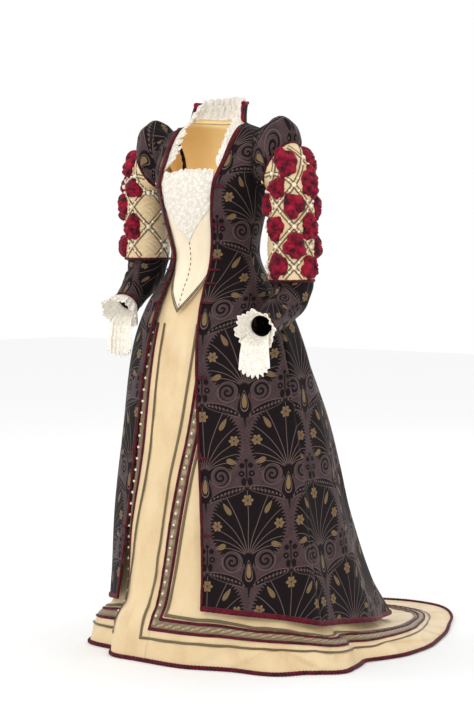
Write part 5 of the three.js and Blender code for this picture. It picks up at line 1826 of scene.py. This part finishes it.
@dataclass(frozen=True)
class Sleeve:
    """A sleeve: velvet head, satin upper sleeve with puffs and a pearled lattice, velvet lower sleeve, lace."""

    side: Side
    straight_rows: int
    pitch: float = 16.8
    cap_row: int = 5
    steps: int = 6
    columns: int = 96
    puff_wide: float = 26.5
    puff_tall: float = 34.0
    puff_height: float = 21.0

    def rings(self) -> tuple[Array, Array, Array, Array, Array]:
        """Centres, two axes and two half widths of every ring below the armhole, as on the left arm."""
        turn = np.radians(SLEEVE_HEAD["turn"])
        away = np.stack([np.sin(turn), 0 * turn, np.cos(turn)], axis=-1)
        near, far = SLEEVE_HEAD["near"], SLEEVE_HEAD["far"]
        head = ARM_PIVOT + away * ((near + far) / 2)[:, None]
        straight = head[-1] - np.arange(1, self.straight_rows + 1)[:, None] * np.array([0, 0, self.pitch])
        low = LOWER_ARMS[self.side]
        lower = straight[-1] + np.stack([low["out"], -low["forward"], -low["down"]], axis=-1)
        chain = np.concatenate([straight[-1:], lower, lower[-1:]])
        along = chain[2:] - chain[:-2]
        along = unit(along)
        a = np.array([1.0, 0, 0]) - along * along[:, :1]
        a = unit(a)
        b = np.cross(along, a)
        flat = np.broadcast_to([0.0, -1, 0], (len(head) + len(straight), 3))
        axes_a = np.concatenate([away, np.repeat(away[-1:], len(straight), 0), a])
        ra = np.concatenate([(far - near) / 2, np.full(len(straight), (far[-1] - near[-1]) / 2), low["radius"]])
        rb = np.concatenate([SLEEVE_HEAD["depth"], np.full(len(straight), SLEEVE_HEAD["depth"][-1]), low["radius"]])
        return np.concatenate([head, straight, lower]), axes_a, np.concatenate([flat, b]), ra, rb

    def armhole(self, theta: Array) -> Array:
        """The ring sewn to the armhole: its ellipse on the robe's surface, drawn in a little."""
        robe = Robe()
        start = robe.low_rows - 1
        heights = robe.heights()[start:]
        height = np.clip(ARMHOLE_Z + ARMHOLE_HEIGHT * np.cos(theta), ARMPIT, TIP)
        front, back = robe.front(Side.LEFT).points[start:, -1], robe.back().points[start:, 0]
        edge = np.stack([np.where(np.sin(theta) > 0, np.interp(height, heights, front[:, k]),
                                  np.interp(height, heights, back[:, k])) for k in range(3)], axis=-1)
        inward = np.array([0, ARMHOLE_Y, ARMHOLE_Z]) - edge * np.array([0, 1, 1])
        inward *= 0.7 / np.linalg.norm(inward, axis=-1, keepdims=True)
        return edge + np.array([0.3, 0, 0]) + inward

    def surface(self) -> Grid:
        """The whole sleeve as one closed grid that starts under the arm."""
        centre, a, b, ra, rb = self.rings()
        theta = math.pi + np.linspace(0, 2 * math.pi, self.columns, endpoint=False)
        cos, sin = np.cos(theta)[None, :, None], np.sin(theta)[None, :, None]
        body = centre[:, None] + a[:, None] * (ra[:, None, None] * cos) + b[:, None] * (rb[:, None, None] * sin)
        rows = np.concatenate([self.armhole(theta)[None], body])
        grid = Grid(through(rows, self.steps), closed=True)
        grid.uv[..., 1] = grid.uv[..., 1].mean(axis=1, keepdims=True) + 0.05
        grid.uv[..., 0] = (np.linspace(0, 2 * math.pi, self.columns + 1) - math.pi) * 0.062
        return grid

    def column(self, place: Array | float) -> Array:
        """A place among 16 round the arm, 0 on the outside, as a column of the grid."""
        return ((np.asarray(place, float) - 8) % 16) * self.columns / 16

    def finish(self, obj: bpy.types.Object) -> bpy.types.Object:
        """Mirrors a piece that belongs to the right arm."""
        return mirror(obj) if self.side is Side.RIGHT else obj

    def make(self, wardrobe: Wardrobe) -> None:
        """Makes and dresses every piece of the sleeve."""
        whole = self.surface()
        word = self.side.word
        cap = self.cap_row * self.steps
        elbow = (len(SLEEVE_HEAD["turn"]) + self.straight_rows) * self.steps
        rows, columns = whole.points.shape[:2]
        i = np.arange(rows)[:, None] / self.steps
        theta = (math.pi + np.arange(columns) * 2 * math.pi / columns)[None]

        gather = 1.5 * np.sin(theta * 26 + 0.6 * np.sin(theta * 5)) * np.exp(-(i / 1.1) ** 2)
        gather = gather + 1.8 * np.sin(theta * 21 + 0.7 * np.sin(theta * 4)) * np.exp(-((i - 5) / 0.9) ** 2)
        gather = gather + 1.6 * np.sin(theta * 9 + i * 0.5) * np.exp(-((i - 2.6) / 1.6) ** 2)
        silk = self.silk(i, theta)
        fold = self.elbow_folds(i - elbow / self.steps, theta)
        spans = (("sleeve_head", 0, cap, Finish.FIGURED, VELVET, gather, "robe_back"),
                 ("upper_sleeve", cap, elbow, Finish.CREAM, SILK, silk, f"sleeve_head_{word}"),
                 ("lower_sleeve", elbow, rows - 1, Finish.FIGURED, VELVET, fold, f"upper_sleeve_{word}"))
        for name, start, end, finish, thick, relief, support in spans:
            cut = slice(start, end + 1)
            points = whole.points[cut] + whole.normals[cut] * relief[cut][..., None]
            grid = Grid(points, closed=True, uv=whole.uv[cut])
            obj = wall(f"{name}_{word}", grid, -thick, 0.0)
            wardrobe.dress(self.finish(obj), finish, f"{name}_{word}")
            declare(obj, grid, "gathered", support)
        part = slice(0, cap + 1)
        grid = Grid(whole.points[part] + whole.normals[part] * gather[part][..., None], closed=True, uv=whole.uv[part])
        obj = wall(f"sleeve_lining_{word}", grid, -VELVET - 1.0, -VELVET - 0.3)
        wardrobe.dress(self.finish(obj), Finish.LINING)
        declare(obj, grid, "gathered", f"sleeve_head_{word}")
        silk_face = Grid(whole.points + whole.normals * silk[..., None], closed=True, uv=whole.uv)
        self.bands(wardrobe, whole, elbow)
        self.puffs(wardrobe, whole)
        self.lattice(wardrobe, silk_face, elbow)
        self.lace(wardrobe)

    def silk(self, row: Array, theta: Array) -> Array:
        """The satin between the lattice braids: it stands out in small pillows, ruched along the braids.

        Args:
            row: rows of the sleeve.
            theta: angles round the arm.

        Returns:
            How far it stands out.
        """
        place = theta / (2 * math.pi) * 16
        one, two = (place + (row - 7) * 2 / 3) / 4, (place - (row - 7) * 2 / 3) / 4
        pillow = np.abs(np.sin(math.pi * one) * np.sin(math.pi * two))
        ruche = np.sin(row * 9.5 + 2.2 * np.sin(place * 2.1)) * np.sin(place * 5.3 + 1.4 * np.sin(row * 2.3))
        last = len(SLEEVE_HEAD["turn"]) + self.straight_rows
        edge = np.clip((row - 5) / 0.8, 0, 1) * np.clip((last - row) / 0.8, 0, 1)
        return (pillow**0.6 * 3.2 - 0.6 + ruche * 1.7 * (0.3 + pillow)) * edge

    def elbow_folds(self, row: Array, theta: Array) -> Array:
        """Creases across the inner elbow and soft rings along the forearm.

        Args:
            row: rows below the upper sleeve.
            theta: angles round the arm.

        Returns:
            How far the velvet stands out.
        """
        inner = np.clip(np.sin(theta), 0, 1)
        crease = -2.6 * np.exp(-((row - 2.2) / 0.28) ** 2) - 2.2 * np.exp(-((row - 2.9) / 0.25) ** 2)
        crease = (crease + 1.8 * np.exp(-((row - 2.55) / 0.25) ** 2)) * inner
        soft = 0.9 * np.sin(row * 4.2 + 2.2 * np.sin(theta * 2)) * np.clip(row / 1.0, 0, 1)
        head = 1.3 * np.sin(theta * 19 + 0.7 * np.sin(theta * 4)) * np.exp(-(row / 0.5) ** 2)
        return np.where(row < 0, 0, crease + soft + head)

    def bands(self, wardrobe: Wardrobe, whole: Grid, elbow: int) -> None:
        """Crimson cords at the top and the end of the satin, and at the wrist.

        Args:
            wardrobe: dresses the piece.
            whole: the sleeve's grid.
            elbow: the row where the satin ends.
        """
        cords = []
        last = len(whole.points) - 1
        for name, row, wide, tall in (("cap", self.cap_row * self.steps, 3.0, 2.6), ("elbow", elbow, 3.4, 2.8),
                                      ("wrist", last, 2.8, 2.4)):
            other = min(row + 1, last)
            up = whole.points[other] - whole.points[other - 1]
            up = unit(up)
            plait = 1 + 0.12 * np.sin(np.arange(self.columns) * 1.7)
            cords.append(tube(f"{name}_cord", whole.points[row] + whole.normals[row] * 0.8, up, whole.normals[row],
                              wide * plait, tall * plait, 10, True))
        obj = join(f"sleeve_cords_{self.side.word}", cords)
        wardrobe.dress(self.finish(obj), Finish.EDGING)
        seam, below = whole.points[0], whole.points[1]
        down = below - seam
        down = unit(down)
        out = np.cross(np.roll(seam, -1, axis=0) - np.roll(seam, 1, axis=0), down)
        out = unit(out)
        obj = tube(f"armhole_seam_{self.side.word}", seam + out * 0.3, down, out, 2.6, 2.8, 10, True)
        wardrobe.dress(self.finish(obj), Finish.DARK)

    def puffs(self, wardrobe: Wardrobe, whole: Grid) -> None:
        """Crimson velvet puffs: domes with gathers that run in from the rim.

        Args:
            wardrobe: dresses the pieces.
            whole: the sleeve's grid.
        """
        rho = np.linspace(0, 1, 15) ** 0.8
        phi = np.linspace(0, 2 * math.pi, 64, endpoint=False)[None]
        for k, (row, place) in enumerate(PUFF_ROWS[self.side]):
            rng = np.random.default_rng(100 + k + 50 * (self.side is Side.RIGHT))
            turn, wide, tall = rng.uniform(0, 6, 6), rng.uniform(0.88, 1.04), rng.uniform(0.86, 1.0)
            r = rho[::-1][:, None]
            lobes = (1 + 0.1 * np.sin(3 * phi + turn[0]) + 0.07 * np.sin(5 * phi + turn[1])
                     + 0.04 * np.sin(9 * phi + turn[3]))
            tilt = rng.uniform(-0.3, 0.3)
            across = self.puff_wide * wide * r * lobes * np.cos(phi)
            down = self.puff_tall * tall * r * lobes * np.sin(phi)
            across, down = across + tilt * down * 0.6, down - tilt * across * 0.6
            pitch_across = 2 * math.pi * SLEEVE_HEAD["depth"][-1] / 16
            shift = rng.uniform(-0.22, 0.22, 2)
            at_row = (row + shift[0] + down / self.pitch) * self.steps
            at_column = self.column(place + shift[1]) + across / pitch_across * self.columns / 16
            height = self.puff_height * rng.uniform(0.82, 1.05) * np.clip(1 - r**2.6, 0, 1) ** 0.5
            pleat = np.sin(11 * phi + turn[2] + 1.1 * np.sin(2 * phi + turn[4])) * r * np.clip(1 - r, 0, 1) ** 0.3
            slant = across * math.cos(turn[3]) + down * math.sin(turn[3])
            across_slant = down * math.cos(turn[3]) - across * math.sin(turn[3])
            ridge = np.abs(np.sin(slant / 6.2 + 1.2 * np.sin(across_slant / 8.5 + turn[4]) + turn[5])) ** 0.8
            hump = 0.5 * np.sin(2 * phi + turn[1]) * r + 0.4 * np.sin(across / 9 + turn[0]) * np.cos(down / 11 + turn[2])
            out = 0.6 + height * (1 + 0.2 * pleat + 0.2 * hump - 0.34 * (1 - ridge) * (1 - r**3))
            points = look(whole.points, at_row, at_column) + look(whole.normals, at_row, at_column) * out[..., None]
            name = f"puff_{self.side.word}_{k + 1:02d}"
            base = (look(whole.points, at_row[:1], at_column[:1])
                    + look(whole.normals, at_row[:1], at_column[:1]) * 0.5)
            middle = np.broadcast_to(base.mean(axis=1, keepdims=True), base.shape)
            shell = np.concatenate([middle, base, points])
            grid = Grid(shell, closed=True, normals=shell)
            quads, lay = cells(len(shell), phi.shape[1], True)
            obj = make_mesh(name, shell.reshape(-1, 3), quads, grid.uv.reshape(-1, 2)[lay].reshape(-1, 2))
            merge_poles(obj)
            face_outwards(obj)
            wardrobe.dress(self.finish(obj), Finish.CRIMSON, name)

    def lattice(self, wardrobe: Wardrobe, face: Grid, elbow: int) -> None:
        """Olive-gold braids that cross the satin both ways, with pearls at and between their crossings.

        Args:
            wardrobe: dresses the pieces.
            face: the satin's outer face.
            elbow: the row where it ends.
        """
        last = elbow / self.steps
        row = np.arange(self.cap_row + 0.4, last - 0.3, 0.2)
        braids, pipings, small = [], [], []
        for start in (0, 4, 8, 12):
            for way in (1, -1):
                place = start + way * (row - 7) * 2 / 3
                r, c = row * self.steps, self.column(place)
                line, out = look(face.points, r, c), look(face.normals, r, c)
                out = unit(out)
                along = np.gradient(line, axis=0)
                across = np.cross(out, along)
                across = unit(across)
                for offset in (-4.3, 4.3):
                    braids.append(tube(f"braid_{start}_{way}_{offset}", line + across * offset + out * 0.9, across, out,
                                       1.9, 1.5, 8))
                ripple = 1 + 0.14 * np.sin(np.arange(len(row)) * 2.3 + start)
                pipings.append(tube(f"piping_{start}_{way}", line + out * 0.6, across, out, 3.2, 1.9 * ripple, 8))
                mid = np.arange(7.75, last - 0.5, 1.5)
                place = start + way * (mid - 7) * 2 / 3
                r, c = mid * self.steps, self.column(place)
                small.append(look(face.points, r, c) + look(face.normals, r, c) * 3.4)
        obj = join(f"sleeve_braid_{self.side.word}", braids)
        wardrobe.dress(self.finish(obj), Finish.BRAID)
        obj = join(f"sleeve_piping_{self.side.word}", pipings)
        wardrobe.dress(self.finish(obj), Finish.CREAM)
        crossings = np.array([(r, c) for r in np.arange(7, last - 0.4, 3)
                              for c in ((0, 4, 8, 12) if (r - 7) % 6 == 0 else (2, 6, 10, 14))], float)
        r, c = crossings[:, 0] * self.steps, self.column(crossings[:, 1])
        big = look(face.points, r, c) + look(face.normals, r, c) * 4.6
        pearls = join(f"sleeve_pearls_{self.side.word}",
                      [beads("big", big, 6.2), beads("small", np.concatenate(small), 3.9)])
        wardrobe.dress(self.finish(pearls), Finish.PEARL)

    def wrist_point(self, along: Array, radius: Array, theta: Array, drop: Array) -> Array:
        """Points round the wrist: out from its middle line by a radius at an angle, and lowered by a drop."""
        centres, axes_a, axes_b, _, _ = self.rings()
        centre, a, b = centres[-1], axes_a[-1], axes_b[-1]
        way = np.cross(a, b)
        p = centre + way * along[..., None] + a * (radius * np.cos(theta))[..., None]
        p = p + b * (radius * np.sin(theta))[..., None]
        return p - np.array([0, 0, 1.0]) * np.asarray(drop)[..., None]

    def lace(self, wardrobe: Wardrobe) -> None:
        """The flared lace cuff with its ruffles, and the lace that hangs below it."""
        word = self.side.word
        t = np.linspace(0, 4, 29)[:, None]
        rows = {k: np.interp(t, np.arange(5), CUFF_RINGS[k]) for k in CUFF_RINGS}
        theta = math.pi / 2 + np.linspace(0, 2 * math.pi, 232, endpoint=False)[None]
        ruffle = rows["wave"] * (np.cos(8 * theta) * 0.75 + 0.55 * np.cos(21 * theta + 1.2 * np.sin(3 * theta)))
        scallop = 1.8 * np.abs(np.sin(16 * theta)) * (t / 4) ** 8
        points = self.wrist_point(rows["along"] + scallop, rows["radius"] + ruffle, theta + 0 * t, 0 * theta * t)
        grid = Grid(points, closed=True)
        obj = wall(f"lace_cuff_{word}", grid, -LACE, 0.0)
        wardrobe.dress(self.finish(obj), Finish.LACE, f"lace_cuff_{word}")
        declare(obj, grid, "gathered", f"lower_sleeve_{word}")

        rows = {k: np.interp(t, np.arange(5), UNDER_LACE[k]) for k in UNDER_LACE}
        share = np.linspace(-1, 1, 121)[None]
        theta = 1.5 * math.pi + share * math.radians(62)
        ruffle = rows["wave"] * (np.cos(7 * math.pi * (share + 1)) * 0.8 + 0.5 * np.cos(23 * share + 1.5))
        scallop = 2.5 * np.abs(np.sin(20 * share)) * (t / 4) ** 8
        points = self.wrist_point(rows["along"] + 0 * share, rows["radius"] + ruffle, theta + 0 * t,
                                  rows["drop"] - scallop)
        grid = Grid(points)
        obj = wall(f"under_lace_{word}", grid, -LACE / 2, LACE / 2)
        wardrobe.dress(self.finish(obj), Finish.LACE, f"under_lace_{word}")
        declare(obj, grid, "hung", f"lace_cuff_{word}")


@dataclass(frozen=True)
class Studio:
    """A pale floor, three soft lamps and the camera at the photograph's angle."""

    azimuth: float = 40.0
    distance: float = 6.0
    camera_height: float = 1.1
    look_height: float = 0.762
    field: float = 17.3
    image_height: int = 712
    shift_pixels: float = 22.0

    def lamp(self, name: str, place: tuple[float, float, float], size: float, watts: float, target: tuple) -> None:
        """A square soft lamp that faces a point.

        Args:
            name: the lamp's name.
            place: where it hangs.
            size: its side in metres.
            watts: its power.
            target: the point.
        """
        light = bpy.data.lights.new(name, "AREA")
        light.shape, light.size, light.energy = "SQUARE", size, watts
        light.color = (1.0, 0.985, 0.965)
        lamp = bpy.data.objects.new(name, light)
        lamp.location = place
        aim = Vector(target) - Vector(place)
        lamp.rotation_euler = aim.to_track_quat("-Z", "Y").to_euler()
        bpy.context.scene.collection.objects.link(lamp)

    def make(self) -> None:
        """Sets up floor, lamps, sky and camera."""
        ground = -SHOULDER / 1000
        mesh = bpy.data.meshes.new("floor")
        s = 12.0
        mesh.from_pydata([(-s, -s, ground), (s, -s, ground), (s, s, ground), (-s, s, ground)], [], [(0, 1, 2, 3)])
        floor = bpy.data.objects.new("floor", mesh)
        bpy.context.scene.collection.objects.link(floor)
        pale = bpy.data.materials.new("pale_floor")
        pale.use_nodes = True
        shader = pale.node_tree.nodes["Principled BSDF"]
        shader.inputs["Base Color"].default_value = (0.93, 0.93, 0.93, 1)
        shader.inputs["Roughness"].default_value = 0.9
        floor.data.materials.append(pale)

        world = bpy.data.worlds.new("studio")
        bpy.context.scene.world = world
        world.use_nodes = True
        world.node_tree.nodes["Background"].inputs[0].default_value = (1, 1, 1, 1)
        world.node_tree.nodes["Background"].inputs[1].default_value = 1.0
        self.lamp("key", (1.2, -4.8, 3.0), 1.4, 70, (0, 0, -0.4))
        self.lamp("fill", (5.0, 1.5, 1.2), 2.2, 22, (0, 0.1, -0.6))
        self.lamp("rim", (-4.0, -1.5, 2.4), 1.8, 26, (0, 0, -0.4))
        self.lamp("rear", (-1.5, 5.0, 2.5), 2.0, 26, (0, 0.2, -0.6))

        turn = math.radians(self.azimuth)
        eye = Vector((math.sin(turn) * self.distance, -math.cos(turn) * self.distance,
                      self.camera_height - SHOULDER / 1000))
        aim = Vector((0, 0, self.look_height - SHOULDER / 1000)) - eye
        data = bpy.data.cameras.new("camera")
        data.sensor_fit = "VERTICAL"
        data.angle_y = math.radians(self.field)
        data.shift_x = self.shift_pixels / self.image_height
        camera = bpy.data.objects.new("camera", data)
        camera.location = eye
        camera.rotation_euler = aim.to_track_quat("-Z", "Y").to_euler()
        bpy.context.scene.collection.objects.link(camera)
        bpy.context.scene.camera = camera
        bpy.context.scene.view_settings.view_transform = "Standard"


def main() -> None:
    """Builds the dress in order, from the studio to the sleeves."""
    logging.basicConfig(level=logging.INFO, format="%(name)s: %(message)s")
    wardrobe = Wardrobe()
    Studio().make()
    Robe().make(wardrobe)
    Bodice().make(wardrobe)
    Skirt().make(wardrobe)
    Collar().make(wardrobe)
    Sleeve(Side.LEFT, 13).make(wardrobe)
    Sleeve(Side.RIGHT, 10).make(wardrobe)


if __name__ == "__main__":
    main()
